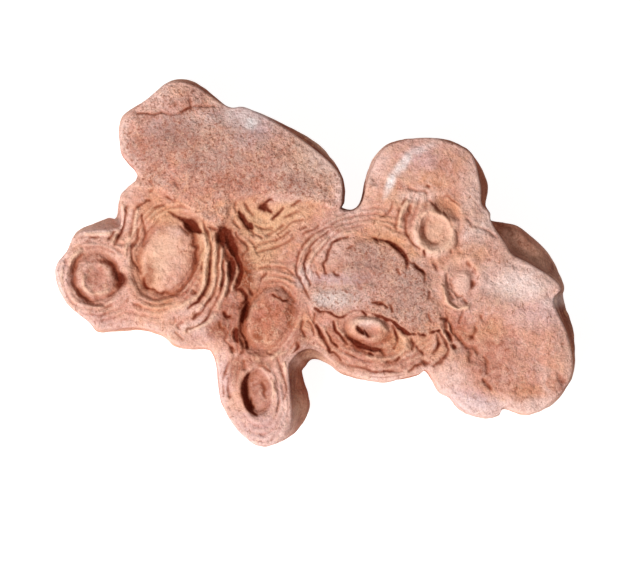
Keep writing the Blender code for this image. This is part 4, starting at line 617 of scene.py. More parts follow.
# Stains, bloom and wear on the face: (x, y, half width, half length, turn in degrees, strength). Silk is
# where the grain is worn smooth, and chalk where the face is white. Brown is partly brown stain and partly
# painted shade, in deep places, in the notch and along shaded edges.
TINTS = {
    "ochre": (
        (-58.8, 3.2, 8.8, 12.4, -25.0, 0.3), (-63.6, 20.4, 9.6, 4.8, 5.0, 0.6),
        (-70.4, -2.0, 3.6, 12.0, 0.0, 0.5), (-24.0, 3.6, 8.0, 7.2, 0.0, 0.3),
        (28.0, 8.6, 10.0, 2.8, -12.0, 0.9), (39.0, 4.0, 3.0, 5.0, 30.0, 0.8),
        (32.4, -31.6, 6.8, 4.8, -20.0, 0.8), (54.0, 22.0, 5.2, 3.2, -40.0, 0.85),
        (47.6, 12.4, 4.8, 5.6, 10.0, 0.85), (56.8, -8.4, 4.4, 7.6, -10.0, 0.35),
        (56.0, 2.8, 3.6, 4.8, 0.0, 0.55), (68.8, -28.0, 6.8, 4.8, 0.0, 0.5),
        (-2.0, 36.0, 12.0, 9.0, -20.0, 0.4), (84.0, -52.0, 4.8, 3.2, 0.0, 0.55),
        (-18.8, -29.2, 6.0, 4.8, -18.0, 0.5), (-41.2, 2.8, 4.4, 10.4, 0.0, 0.6),
        (46.8, 31.6, 5.2, 4.8, 0.0, 0.2), (-3.6, -23.6, 3.6, 3.6, 0.0, 0.5),
        (-62.0, -16.4, 8.8, 2.8, 0.0, 0.45), (-55.6, 68.0, 4.0, 3.2, 0.0, 0.4),
        (6.0, -33.2, 3.2, 4.8, 35.0, 0.4),
    ),
    "rust": (
        (-18.4, -21.0, 8.8, 13.2, -18.0, 0.7), (-31.6, 1.0, 4.8, 13.6, 12.0, 0.8),
        (-28.6, -22.8, 3.6, 13.0, -4.0, 0.85), (-33.6, -22.4, 5.2, 9.6, 0.0, 0.45),
        (-10.4, -19.6, 2.0, 8.0, -5.0, 0.7), (-47.6, 2.0, 2.4, 10.8, 5.0, 0.7),
        (-54.0, -11.6, 6.8, 2.0, 15.0, 0.5), (51.2, 38.8, 3.6, 4.4, 0.0, 0.3),
        (71.0, -38.6, 8.8, 12.0, 0.0, 0.5), (8.0, -31.0, 5.6, 7.6, 35.0, 0.45),
        (17.6, -32.4, 8.8, 3.2, -12.0, 0.65), (27.6, -32.8, 4.4, 6.4, 0.0, 0.5),
        (-84.0, -21.6, 9.0, 3.0, -15.0, 0.4), (-66.0, -28.0, 6.0, 2.4, 0.0, 0.2),
        (57.0, -27.0, 3.6, 7.6, 20.0, 0.5), (61.2, -34.8, 3.2, 8.0, 0.0, 0.3),
        (42.0, 12.4, 1.6, 3.6, 0.0, 0.6), (-86.0, -5.6, 10.0, 10.0, 0.0, 0.5),
        (-23.2, -51.2, 5.6, 8.4, 8.0, 0.3), (-31.6, 30.8, 12.0, 4.8, 0.0, 0.3),
        (97.2, -48.0, 3.2, 2.8, 0.0, 0.8), (-26.8, -37.2, 5.2, 4.0, 0.0, 0.4),
        (-51.6, 46.8, 6.4, 4.0, 0.0, 0.25), (28.0, -39.6, 20.8, 3.2, 0.0, 0.3),
        (-6.0, -32.8, 3.6, 3.2, 0.0, 0.4), (-49.2, 65.2, 4.0, 3.2, 0.0, 0.25),
        (82.0, -50.8, 6.4, 4.8, 0.0, 0.3), (12.0, -33.2, 8.8, 2.8, -25.0, 0.4),
        (-66.0, 41.2, 10.4, 8.8, 0.0, 0.2),
    ),
    "rose": (
        (-100.8, -4.8, 2.8, 12.0, 0.0, 0.6), (-21.2, -69.2, 12.0, 4.0, 0.0, 0.5),
        (-37.6, -50.0, 2.4, 16.8, 0.0, 0.35), (2.4, 42.0, 8.0, 7.0, -35.0, 0.7),
        (10.0, 33.0, 3.0, 10.0, 0.0, 0.8), (6.0, 7.2, 9.0, 8.0, 0.0, 0.45),
        (-4.0, -4.8, 4.0, 5.0, 0.0, 1.3), (86.0, -20.8, 12.0, 5.0, 0.0, 0.35),
        (40.0, -0.8, 3.0, 6.0, -35.0, 0.45), (40.0, 26.4, 8.0, 3.4, 0.0, 0.7),
        (-14.0, -11.6, 5.0, 3.0, 0.0, 0.3), (82.0, -7.2, 14.4, 8.4, 0.0, 0.85),
        (47.6, 12.8, 10.0, 11.0, 0.0, 0.35), (10.0, -6.0, 11.0, 1.8, 0.0, 0.5),
        (-59.0, 3.0, 8.4, 12.0, -25.0, 0.3), (74.0, -38.0, 14.0, 12.0, 0.0, 0.2),
        (-20.0, -52.0, 14.0, 20.0, 0.0, 0.25), (57.6, -8.0, 8.8, 11.0, 0.0, 0.5),
        (-26.0, 50.0, 9.2, 6.8, 0.0, 0.5), (-86.0, -5.6, 15.0, 15.0, 0.0, 0.5),
        (61.2, 12.4, 3.6, 7.2, -35.0, 0.6), (70.8, 19.2, 5.6, 5.6, 0.0, 0.3),
        (67.6, -56.8, 13.6, 4.4, 0.0, 0.65), (88.0, -56.0, 10.4, 3.2, 0.0, 0.65),
        (54.0, -46.8, 8.0, 8.8, 0.0, 0.6), (25.2, 38.8, 5.2, 9.6, -15.0, 0.45),
        (62.0, 30.0, 5.2, 10.4, -10.0, 0.5), (-13.2, -58.0, 2.4, 8.8, 0.0, 0.6),
        (-45.2, -24.4, 12.0, 3.2, 15.0, 0.75), (-60.4, 66.4, 5.2, 4.0, 20.0, 0.55),
        (9.2, 30.0, 1.6, 8.0, 0.0, 0.6), (-9.2, 26.8, 10.4, 2.4, 0.0, 0.5),
        (22.0, -45.6, 24.0, 2.4, 0.0, 0.4), (20.4, -22.8, 6.8, 2.4, 0.0, 0.75),
        (14.0, 20.4, 6.4, 1.6, 0.0, 0.5), (40.4, 10.8, 2.0, 6.4, 0.0, 0.6),
        (47.2, 4.4, 5.6, 2.4, 0.0, 0.6), (-55.6, 12.4, 4.0, 3.2, -20.0, 0.35),
        (-76.0, 53.2, 2.4, 12.0, 0.0, 0.5), (-86.0, 11.6, 8.0, 1.6, 0.0, 0.6),
        (-74.8, 16.4, 4.0, 7.2, 0.0, 0.3), (-88.8, -20.8, 8.0, 3.2, -20.0, 0.2),
        (68.8, -5.6, 5.2, 7.2, 0.0, 0.6), (-50.8, -18.4, 8.8, 2.4, 20.0, 0.5),
    ),
    "sand": (
        (-21.2, 16.4, 13.0, 7.0, 0.0, 0.9), (-12.0, 20.0, 9.0, 5.0, 10.0, 0.8),
        (-22.0, 5.0, 9.0, 8.0, 0.0, 0.7), (0.0, 42.0, 9.0, 7.0, -30.0, 0.7),
        (47.6, 12.8, 6.0, 7.0, 0.0, 0.5), (36.0, 25.0, 9.0, 4.0, 0.0, 0.5),
        (28.0, 14.4, 8.0, 3.6, -10.0, 0.4), (-44.0, 4.0, 4.0, 13.0, 8.0, 0.9),
        (-62.4, 0.0, 5.0, 11.0, -20.0, 0.6), (-58.0, 17.6, 8.0, 3.6, -10.0, 0.5),
        (-5.0, -31.0, 3.0, 3.0, 0.0, 0.4),
    ),
    "lilac": (
        (-27.0, 56.5, 10.0, 6.0, -20.0, 1.3), (-28.0, 49.0, 5.0, 4.0, 0.0, 0.7),
        (-59.0, 54.5, 9.0, 6.0, 0.0, 0.6), (-40.0, 58.0, 5.0, 4.0, 0.0, 0.6),
        (10.0, -6.4, 12.0, 2.6, 0.0, 0.9), (62.0, -54.6, 14.0, 4.6, -12.0, 0.8),
        (88.0, -20.0, 12.0, 6.0, 0.0, 0.45), (-84.0, -22.5, 9.0, 2.6, -15.0, 0.5),
        (-36.0, -46.0, 3.0, 12.0, 0.0, 0.6), (-23.0, -65.0, 12.0, 8.0, 0.0, 0.6),
        (-43.0, -29.0, 5.0, 3.0, 0.0, 0.4), (-100.0, -6.0, 2.4, 9.0, 0.0, 0.4),
        (42.0, 41.2, 8.0, 5.0, 0.0, 0.6), (12.0, -14.8, 12.0, 5.0, 0.0, 0.5),
        (-20.0, -52.0, 6.0, 9.0, 8.0, 0.5),
    ),
    "silk": (
        (-58.0, 3.0, 9.6, 13.6, -25.0, 1.0), (47.6, 12.8, 8.4, 9.4, 10.0, 0.9),
        (58.0, -8.0, 7.0, 9.0, -10.0, 0.7), (-87.2, -5.0, 11.0, 12.0, 0.0, 0.6),
        (-20.0, -50.0, 15.0, 20.0, 0.0, 0.5), (45.0, 38.0, 24.0, 14.0, 0.0, 0.4),
        (-26.0, 56.0, 11.0, 6.0, -20.0, 1.0), (2.0, 43.0, 9.0, 7.0, -35.0, 0.9),
        (10.0, 32.0, 3.4, 9.0, 0.0, 0.8), (14.0, -6.4, 11.0, 3.0, 0.0, 0.8),
        (-60.0, 56.0, 7.0, 5.0, 0.0, 0.5),
    ),
    "ash": (
        (8.0, -13.6, 12.0, 5.2, 0.0, 0.85), (35.6, -11.6, 10.4, 12.8, 0.0, 0.6),
        (22.0, 0.4, 10.4, 8.0, 0.0, 0.45), (-54.0, 52.4, 9.6, 7.6, 0.0, 0.6),
        (-36.4, 54.0, 12.0, 5.6, 0.0, 0.55), (-6.0, 34.8, 12.8, 9.6, -20.0, 0.45),
        (-41.2, 41.2, 12.0, 8.0, 0.0, 0.45), (62.0, 14.0, 4.8, 3.2, -30.0, 0.45),
        (77.2, 0.4, 5.6, 4.0, 0.0, 0.35), (74.0, -13.2, 10.4, 4.0, 0.0, 0.4),
        (56.0, -34.0, 2.4, 2.0, 0.0, 0.5), (-21.2, -50.8, 3.6, 5.2, 8.0, 0.4),
        (-41.2, -26.8, 6.4, 2.4, 0.0, 0.4), (36.0, 34.8, 5.6, 4.0, -30.0, 0.3),
        (12.8, 16.4, 7.2, 3.2, 0.0, 0.45), (66.0, 18.0, 8.0, 12.0, 20.0, 0.5),
    ),
    "plum": (
        (-54.4, 50.8, 9.6, 7.2, 0.0, 0.85), (-66.0, 45.0, 12.0, 12.0, 0.0, 0.55),
        (-30.0, 42.0, 20.0, 14.0, -20.0, 0.5), (20.0, -1.2, 13.2, 9.2, 0.0, 0.55),
        (36.0, -12.8, 8.8, 12.0, 0.0, 0.5), (-8.0, 31.0, 8.0, 5.0, -10.0, 0.7),
        (-44.0, 31.2, 12.0, 4.8, 0.0, 0.3), (-48.0, 40.0, 5.6, 6.0, 0.0, 0.8),
        (-34.0, 47.0, 6.0, 5.0, 0.0, 0.4), (44.8, -20.0, 4.8, 6.0, 0.0, 0.4),
        (-33.2, -20.8, 5.2, 9.2, 0.0, 0.5), (18.0, -8.0, 5.2, 2.4, 0.0, 0.4),
    ),
    # Partly brown stain and partly painted shade: in deep places, in the notch and along shaded edges.
    "brown": (
        (-66.0, -5.2, 2.6, 6.4, -10.0, 0.8), (-27.2, -5.2, 3.2, 7.0, 0.0, 1.2),
        (-39.0, -26.4, 4.8, 4.4, 0.0, 1.0), (-22.8, -29.6, 3.0, 2.6, 0.0, 0.9),
        (-22.0, -38.4, 6.0, 3.0, 0.0, 0.5), (-6.0, -30.0, 4.8, 5.2, 0.0, 0.6),
        (-3.0, -36.0, 5.6, 4.4, 0.0, 1.6), (-14.0, -36.0, 3.6, 3.0, 0.0, 0.5),
        (-32.0, -42.4, 3.0, 4.8, 0.0, 0.65), (-9.6, -21.6, 2.4, 9.0, -8.0, 0.65),
        (29.2, -33.6, 2.4, 2.0, 0.0, 0.4), (97.6, -48.0, 2.4, 2.4, 0.0, 0.5),
        (-43.6, 68.4, 2.6, 2.4, 0.0, 0.4), (-88.0, 15.6, 4.4, 1.6, 20.0, 0.6),
    ),
    "chalk": (
        (-27.0, 57.5, 9.0, 4.4, -15.0, 0.4), (62.0, -56.0, 12.0, 3.4, -12.0, 0.25),
        (-25.6, 55.6, 3.0, 2.6, 0.0, 1.0), (29.6, 31.2, 1.6, 5.6, -18.0, 0.95),
        (34.8, 39.6, 1.8, 6.4, -38.0, 0.85), (42.0, 45.2, 6.4, 1.6, 22.0, 0.4),
        (80.0, -9.2, 11.2, 5.2, -8.0, 0.4), (66.0, 12.8, 2.4, 5.6, -20.0, 0.25),
        (6.0, -14.8, 8.0, 3.2, 0.0, 0.35), (92.0, -15.6, 3.6, 3.2, 0.0, 0.3),
        (-46.0, 57.2, 5.6, 2.4, 0.0, 0.2),
    ),
}

# The ringed heads that the laminae run round: (x, y, half width, half length, turn in degrees).
RINGED = tuple(head[:5] for head in HEADS) + ((23.6, -10.8, 26.0, 24.0, 0.0),)

# Where the laminae are worn smooth: (x, y, half width, half length, turn in degrees).
WORN_SMOOTH = (
    (70.0, 2.0, 12.0, 26.0, -8.0), (45.0, 41.0, 24.0, 15.0, 0.0), (82.0, -32.0, 27.0, 28.0, 0.0),
    (56.0, 16.0, 6.0, 12.0, -20.0), (-58.0, 28.0, 14.0, 4.0, 10.0),
)

# The side turned away from the key light, where the wall is painted in shade.
SHADED_SIDE_FACING = np.array((0.80, 0.60))

# What only the face shows, and what only the wall and the base show.
FACE_ONLY = ("hollow", "moat", "crest", "shade", "sunk_shade")
WALL_ONLY = ("wall", "shaded_side", "shelf", "base")

# Every value that the stone's material reads.
SHOWN = (*TINTS, *FACE_ONLY, *WALL_ONLY, "ring", "zone", "plate", "relief", "rim")

# The stone's patterns: (scale, detail, roughness, distortion).
PATTERNS = {
    "blotch": (75.0, 4.0, 0.6, 0.0),
    "cloud": (150.0, 3.0, 0.6, 0.8),
    "patch": (260.0, 4.0, 0.65, 0.6),
    "mottle": (480.0, 3.0, 0.6, 0.4),
    "flake": (380.0, 3.0, 0.65, 0.9),
}

# Two more, stretched or pressed together along an axis: (scale of each axis, then as above).
FLECKS = ((1.0, 0.55, 1.0), 620.0, 2.0, 0.5, 1.2)
STREAKS = ((1.0, 1.0, 7.0), 110.0, 4.0, 0.65, 0.0)

# The grains: (scale times the size of a grain, then as above).
GRAINS = {"grain": (1.0, 3.0, 0.7, 0.0), "crumb": (0.6, 3.0, 0.65, 0.0)}
SHEEN = 0.02

# The stage, in metres. The floor lies a hair above the base's plane, so that the base shows from below.
KEY_PLACE = (-1.0, -0.88, 1.6)
KEY_COLOUR = (0.985, 0.99, 0.99)
FLOOR_LIFT = 0.00005
FAR_CLIP = 100.0

# The camera's sensor, and the point of the slab's plan that it stands over.
SENSOR_WIDTH = 36.0
FRAME_CENTRE = (2.0, -11.0)


def linear(red, green, blue):
    """A colour given as three sRGB bytes, in linear light."""
    shares = [value / 255 for value in (red, green, blue)]
    return tuple(s / 12.92 if s <= 0.04045 else ((s + 0.055) / 1.055) ** 2.4 for s in shares)


def spline_points(before, here, after, beyond, steps):
    """The Catmull-Rom span from `here` to `after`, at `steps` even shares t of each span.

    p(t) = here + ((after - before) t + (2 before - 5 here + 4 after - beyond) t^2
    + (3 here - before - 3 after + beyond) t^3) / 2.
    """
    t = (np.arange(steps) / steps)[:, None, None]
    slope = (after - before) * t
    bend = (2 * before - 5 * here + 4 * after - beyond) * t**2
    twist = (3 * here - before - 3 * after + beyond) * t**3
    return (here + 0.5 * (slope + bend + twist)).transpose(1, 0, 2).reshape(-1, here.shape[1])


def closed_curve(knots, step):
    """Points every `step` along the closed Catmull-Rom curve through the knots, with the ledge there."""
    here = np.array(knots)
    before, after, beyond = (np.roll(here, shift, axis=0) for shift in (1, -1, -2))
    fine = spline_points(before, here, after, beyond, SPAN_STEPS)
    ring = np.vstack([fine, fine[:1]])
    spans = np.linalg.norm(np.diff(ring[:, :2], axis=0), axis=1)
    along = np.concatenate([[0.0], np.cumsum(spans)])
    count = round(along[-1] / step)
    stops = np.arange(count) * along[-1] / count
    return np.stack([np.interp(stops, along, column) for column in ring.T], axis=1)


def open_curve(knots):
    """The Catmull-Rom curve through the knots of an open course, its end spans drawn out straight."""
    line = np.array(knots)
    line = np.vstack([2 * line[0] - line[1], line, 2 * line[-1] - line[-2]])
    fine = spline_points(line[:-3], line[1:-2], line[2:-1], line[3:], STROKE_STEPS)
    return np.vstack([fine, line[-2:-1]])


def blurred(values, width):
    """Each column of values round a closed loop, smoothed by a Gaussian `width` samples wide."""
    pitch = np.fft.fftfreq(len(values))[:, None]
    weight = np.exp(-2.0 * (math.pi * pitch * width) ** 2)
    return np.real(np.fft.ifft(np.fft.fft(values, axis=0) * weight, axis=0))


def inward_normals(loop, step):
    """The direction into the stone at each point of a clockwise loop, smoothed along it."""
    along = np.roll(loop, -1, axis=0) - np.roll(loop, 1, axis=0)
    normals = blurred(np.stack([along[:, 1], -along[:, 0]], axis=1), NORMAL_BLUR / step)
    return normals / np.linalg.norm(normals, axis=1, keepdims=True)


def soft_step(value):
    """0 up to 0 and 1 from 1 on, joined by 3t^2 - 2t^3."""
    t = np.clip(value, 0.0, 1.0)
    return t * t * (3 - 2 * t)


def ramp(value, span):
    """0 up to the start of the span and 1 from its end on, joined by the soft step."""
    start, end = span
    return soft_step((value - start) / (end - start))


def lattice_noise(x, y, size, seed):
    """Smooth noise between -1 and 1: values on a square lattice, blended with the soft step."""
    table = np.random.default_rng(seed).uniform(-1.0, 1.0, (LATTICE, LATTICE))
    u, v = x / size, y / size
    column, row = np.floor(u).astype(int), np.floor(v).astype(int)
    s, t = soft_step(u - column), soft_step(v - row)
    near, far = column % LATTICE, (column + 1) % LATTICE
    low, high = row % LATTICE, (row + 1) % LATTICE
    bottom = table[near, low] * (1 - s) + table[far, low] * s
    top = table[near, high] * (1 - s) + table[far, high] * s
    return bottom * (1 - t) + top * t


def layered_noise(x, y, layers):
    """The sum of the layers, each its rise times lattice noise."""
    return sum(rise * lattice_noise(x, y, size, seed) for size, rise, seed in layers)


def near_span(x, y, here, there):
    """How far along a span, from 0 to 1, it is nearest to each point, and the squared distance there."""
    run, rise = there[0] - here[0], there[1] - here[1]
    share = np.clip(((x - here[0]) * run + (y - here[1]) * rise) / (run**2 + rise**2), 0.0, 1.0)
    return share, (x - here[0] - share * run) ** 2 + (y - here[1] - share * rise) ** 2


def distance_to_loop(x, y, corners):
    """The distance from each point to a closed broken line."""
    points = np.array(corners)
    nearest = np.full(x.shape, FAR)
    for here, there in zip(points, np.roll(points, -1, axis=0)):
        nearest = np.minimum(nearest, near_span(x, y, here, there)[1])
    return np.sqrt(nearest)


def inside(x, y, corners):
    """True for each point inside the polygon, by counting the sides that a ray to +X crosses."""
    points = np.array(corners)
    crossed = np.zeros(x.shape, bool)
    for (ax, ay), (bx, by) in zip(points, np.roll(points, -1, axis=0)):
        if ay == by:
            continue
        level = (ay > y) != (by > y)
        crossed ^= level & (x < ax + (y - ay) * (bx - ax) / (by - ay))
    return crossed


def ellipse_share(x, y, centre_x, centre_y, half_width, half_length, turn):
    """How far out each point lies in a turned ellipse: 0 at the centre and 1 on the ellipse."""
    angle = math.radians(turn)
    across = (x - centre_x) * math.cos(angle) + (y - centre_y) * math.sin(angle)
    along = (y - centre_y) * math.cos(angle) - (x - centre_x) * math.sin(angle)
    return np.hypot(across / half_width, along / half_length)


def wandered(x, y):
    """The points shifted by noise, so that no course runs true."""
    return x + layered_noise(x, y, WANDER_X), y + layered_noise(x, y, WANDER_Y)


def swell_height(x, y):
    """Each swell is rise times exp(-(dx/reach)^2 - (dy/reach)^2)."""
    height = np.zeros(x.shape)
    for cx, cy, reach_x, reach_y, rise in SWELLS:
        height += rise * np.exp(-(((x - cx) / reach_x) ** 2 + ((y - cy) / reach_y) ** 2))
    return height


def worn_profile(share, profile):
    """The profile read at each share of the radius, its corners rounded by a bell."""
    rows = np.array(profile)
    fine = np.arange(-0.5, rows[-1, 0] + 0.5, PROFILE_STEP)
    sharp = np.interp(np.abs(fine), rows[:, 0], rows[:, 1])
    lag = np.arange(-4 * PROFILE_BLUR, 4 * PROFILE_BLUR, PROFILE_STEP)
    bell = np.exp(-0.5 * (lag / PROFILE_BLUR) ** 2)
    return np.interp(share, fine, np.convolve(sharp, bell / bell.sum(), "same"))


def head_height(x, y):
    """The sum of the heads: each is its worn profile, with its hollows deeper towards one bearing."""
    height = np.zeros(x.shape)
    for *ellipse, deep_side, deeper, profile in HEADS:
        rise = worn_profile(ellipse_share(x, y, *ellipse), profile)
        cx, cy = ellipse[:2]
        facing = np.cos(np.arctan2(y - cy, x - cx) - math.radians(deep_side))
        height += np.where(rise < 0, rise * (1 + deeper * facing), rise)
    return height


def plate_shares(x, y):
    """For each plate, 1 inside its outline and 0 outside, across a short slope."""
    shares = []
    for _, edge, corners in PLATES:
        gap = distance_to_loop(x, y, corners)
        shares.append(ramp(np.where(inside(x, y, corners), gap, -gap), (-edge, edge)))
    return shares


def beside(x, y, path, reach):
    """The numbers of the points within reach of the box round a path."""
    low, high = path[:, :2].min(axis=0) - reach, path[:, :2].max(axis=0) + reach
    return np.flatnonzero((x > low[0]) & (x < high[0]) & (y > low[1]) & (y < high[1]))


def nearest_on_path(x, y, path):
    """The distance from each point to a path, and the path's depth and half width where it is nearest."""
    nearest = np.full(x.shape, FAR)
    depth, half_width = np.zeros(x.shape), np.ones(x.shape)
    for here, there in zip(path, path[1:]):
        share, gap = near_span(x, y, here, there)
        closer = gap < nearest
        nearest = np.where(closer, gap, nearest)
        depth = np.where(closer, here[2] + share * (there[2] - here[2]), depth)
        half_width = np.where(closer, here[3] + share * (there[3] - here[3]), half_width)
    return np.sqrt(nearest), depth, half_width


def stroke_forms(x, y, strokes):
    """The strongest stroke at each point: depth times exp(-(distance / half width)^2), with ragged sides.

    It gives the depth held to what so narrow a stroke can cut, the depth as it was drawn, and a wider and
    softer share of it that says how near a stroke is.
    """
    cut, drawn, near_share = np.zeros(x.shape), np.zeros(x.shape), np.zeros(x.shape)
    worn = 1.0 + layered_noise(x, y, STROKE_WORN)
    ragged = 1.0 + layered_noise(x, y, STROKE_RAGGED)
    shift = layered_noise(x, y, STROKE_SHIFT)
    for course in strokes:
        path = open_curve(course)
        near = beside(x, y, path, BELL_REACH * path[:, 3].max() + STROKE_SHADE)
        gap, depth, half_width = nearest_on_path(x[near], y[near], path)
        gap = np.maximum(gap + shift[near], 0.0)
        depth = depth * worn[near]
        bell = np.exp(-((gap / (BELL_WIDTH * half_width * ragged[near])) ** 2))
        wide = np.exp(-((gap / (half_width + STROKE_SHADE)) ** 2))
        cut[near] = np.maximum(cut[near], np.minimum(depth, STEEPEST * half_width) * bell)
        drawn[near] = np.maximum(drawn[near], depth * bell)
        near_share[near] = np.maximum(near_share[near], np.minimum(1.0, depth / SHADE_DEPTH) * wide)
    return cut, drawn, near_share


def near_stroke(x, y):
    """True for each point on a groove or a ridge, or close beside one."""
    found = np.zeros(x.shape, bool)
    for course in GROOVES + RIDGES:
        path = np.array(course)
        near = beside(x, y, path, path[:, 3].max() + FINE_REACH)
        gap, _, half_width = nearest_on_path(x[near], y[near], path)
        found[near] |= gap < half_width + FINE_REACH
    return found


def ring_depth(x, y):
    """How far each point lies outside the nearest head, in mm.

    It is the soft minimum -k log(sum(exp(-gap / k))) of the heads' gaps, where a gap is (share - 1) times
    the mean radius, and noise lets it wander.
    """
    total = np.zeros(x.shape)
    for cx, cy, half_width, half_length, turn in RINGED:
        share = ellipse_share(x, y, cx, cy, half_width, half_length, turn)
        total += np.exp(-(share - 1) * math.sqrt(half_width * half_length) / SOFT_UNION)
    return layered_noise(x, y, RING_WANDER) - SOFT_UNION * np.log(total)


def lamina_share(x, y, depth, plates):
    """How strongly the laminae show: not on a plate, nor in a head, nor far from every head."""
    bare = ramp(depth, LAMINA_START) * (1 - ramp(depth, LAMINA_FADE))
    for share in plates:
        bare *= 1 - share
    for ellipse in WORN_SMOOTH:
        bare *= ramp(ellipse_share(x, y, *ellipse), WORN_EDGE)
    strength = LAMINA_STRENGTH + layered_noise(x, y, LAMINA_PATCHES)
    return bare * np.clip(strength, 0.0, LAMINA_STRONGEST)


def stain_shares(x, y):
    """Each stain's strongest patch at each point: its strength times exp(-share^3)."""
    found = {}
    for name, patches in TINTS.items():
        shares = (strength * np.exp(-(ellipse_share(x, y, *patch) ** 3)) for *patch, strength in patches)
        found[name] = np.maximum.reduce(list(shares))
    return found


def face_form(x, y, slab):
    """The face's height without its shoulder, and what its form shows at each point."""
    groove, drawn, shade = stroke_forms(x, y, GROOVES)
    ridge, crest, _ = stroke_forms(x, y, RIDGES)
    x, y = wandered(x, y)
    heads = head_height(x, y)
    plates = plate_shares(x, y)
    depth = ring_depth(x, y)
    zone = lamina_share(x, y, depth, plates) * (1 - LAMINA_CLEARED * shade)
    phase = depth / (slab.lamina_pitch / MM)
    height = slab.face_height / MM + swell_height(x, y) + heads - slab.groove_share * groove + ridge
    for share, (rise, _, _) in zip(plates, PLATES):
        height += rise * share
    height += zone * slab.lamina_rise / MM * np.sin(2 * math.pi * phase)
    height += layered_noise(x, y, LUMPS)
    shown = {"ring": phase, "zone": zone, "plate": np.maximum.reduce(plates), "shade": shade}
    # The hollow: painted shade in the grooves, full where a groove is drawn HOLLOW_DEPTH deep.
    shown["hollow"] = np.clip(drawn / HOLLOW_DEPTH, 0.0, 1.0)
    # The moat: the heads' orange-brown, laid stronger the deeper the moat, partly as painted shade.
    shown["moat"] = np.clip(-heads / MOAT_DEPTH, 0.0, 1.0)
    shown["crest"] = np.clip(crest, 0.0, 1.0)
    return height, shown


def face_shown(x, y, slab):
    """The face's height, and what its form and its stains show."""
    height, shown = face_form(x, y, slab)
    return height, shown | stain_shares(*wandered(x, y))


def relief(x, y, height, slab, reach):
    """How far each point stands above (or below) the mean of four points round it, in mm."""
    around = np.zeros(x.shape)
    for dx, dy in ((1, 0), (-1, 0), (0, 1), (0, -1)):
        around += 0.25 * face_form(x + dx * reach, y + dy * reach, slab)[0]
    return height - around


def grid_inside(loop, step, thinned=False):
    """Staggered grid points inside the loop and clear of it, with their distance from it.

    A thinned grid keeps every point near a stroke and elsewhere one in four, at twice the step: the
    points whose row is even and whose column is even or odd as half the row is.
    """
    low, high = loop.min(axis=0), loop.max(axis=0)
    rise = step * math.sqrt(0.75)
    x, y = np.meshgrid(np.arange(low[0], high[0], step), np.arange(low[1], high[1], rise))
    row = np.arange(len(x))[:, None]
    wide = (row % 2 == 0) & ((np.arange(x.shape[1])[None, :] - row // 2) % 2 == 0)
    x = (x + 0.5 * step * (row % 2)).ravel()
    y = y.ravel()
    kept = np.flatnonzero(inside(x, y, loop))
    if thinned:
        kept = kept[wide.ravel()[kept] | near_stroke(x[kept], y[kept])]
    x, y = x[kept], y[kept]
    gap = distance_to_loop(x, y, loop)
    clear = gap > RIM_CLEARANCE * step
    return np.stack([x, y], axis=1)[clear], gap[clear]


def sheet_faces(loop, points):
    """Triangles, facing up, of the loop and the points inside it, numbered loop first."""
    flat = np.vstack([loop, points])
    edges = [(i, (i + 1) % len(loop)) for i in range(len(loop))]
    plan = [Vector(point) for point in flat.tolist()]
    vertices, _, faces, _, _, _ = delaunay_2d_cdt(plan, edges, [], 1, MERGE_DISTANCE)
    if len(vertices) != len(plan):
        raise ValueError("the rim crosses itself")
    corners = np.array(faces)
    a, b, c = (flat[corners[:, k]] for k in range(3))
    turn = (b[:, 0] - a[:, 0]) * (c[:, 1] - a[:, 1]) - (b[:, 1] - a[:, 1]) * (c[:, 0] - a[:, 0])
    return np.where((turn > 0)[:, None], corners, corners[:, ::-1])


def shelf_share(ledge):
    """0 where the ledge is too narrow for a shelf, rising to 1."""
    return np.clip((ledge - SHELF_FROM) / SHELF_OVER, 0.0, 1.0)


def wall_rows(top, ledge, slab):
    """The wall's rows from the face to the base as (inset from the widest line, height).

    Each holds a value a station. The worn edge is a quarter circle. Below it the cliff drops first and
    then runs out to the widest line, over a shelf where the ledge is wide, and the underside tucks in as
    the square of the way down.
    """
    rows = []
    radius = slab.edge_radius / MM
    for k in range(1, EDGE_ROWS + 1):
        angle = 0.5 * math.pi * k / EDGE_ROWS
        rows.append((ledge + radius * (1 - math.sin(angle)), top - radius * (1 - math.cos(angle))))
    foot = top - radius
    widest = slab.widest_share * top
    shelf = shelf_share(ledge)
    for k in range(1, CLIFF_ROWS + 1):
        share = k / CLIFF_ROWS
        out = (1 - shelf) * ramp(share, CLIFF_RUN) + shelf * np.interp(share, SHELF_ROWS, SHELF_OUT)
        down = (1 - shelf) * share + shelf * np.interp(share, SHELF_ROWS, SHELF_DOWN)
        rows.append((ledge * (1 - out), foot + (widest - foot) * down))
    for k in range(1, UNDER_ROWS + 1):
        share = k / UNDER_ROWS
        rows.append((slab.base_tuck / MM * share**2, widest * (1 - share)))
    return rows


def wall_shift(along, height, top):
    """How far the wall is worn in (or stands out): lumps and flat beds of noise, none at its ends."""
    shift = np.zeros(height.shape)
    for size_along, size_up, rise, seed in WALL_LUMPS:
        shift += rise * lattice_noise(along * size_up / size_along, height, size_up, seed)
    return shift * np.sin(math.pi * np.clip(height / top, 0.0, 1.0)) ** WALL_FADE


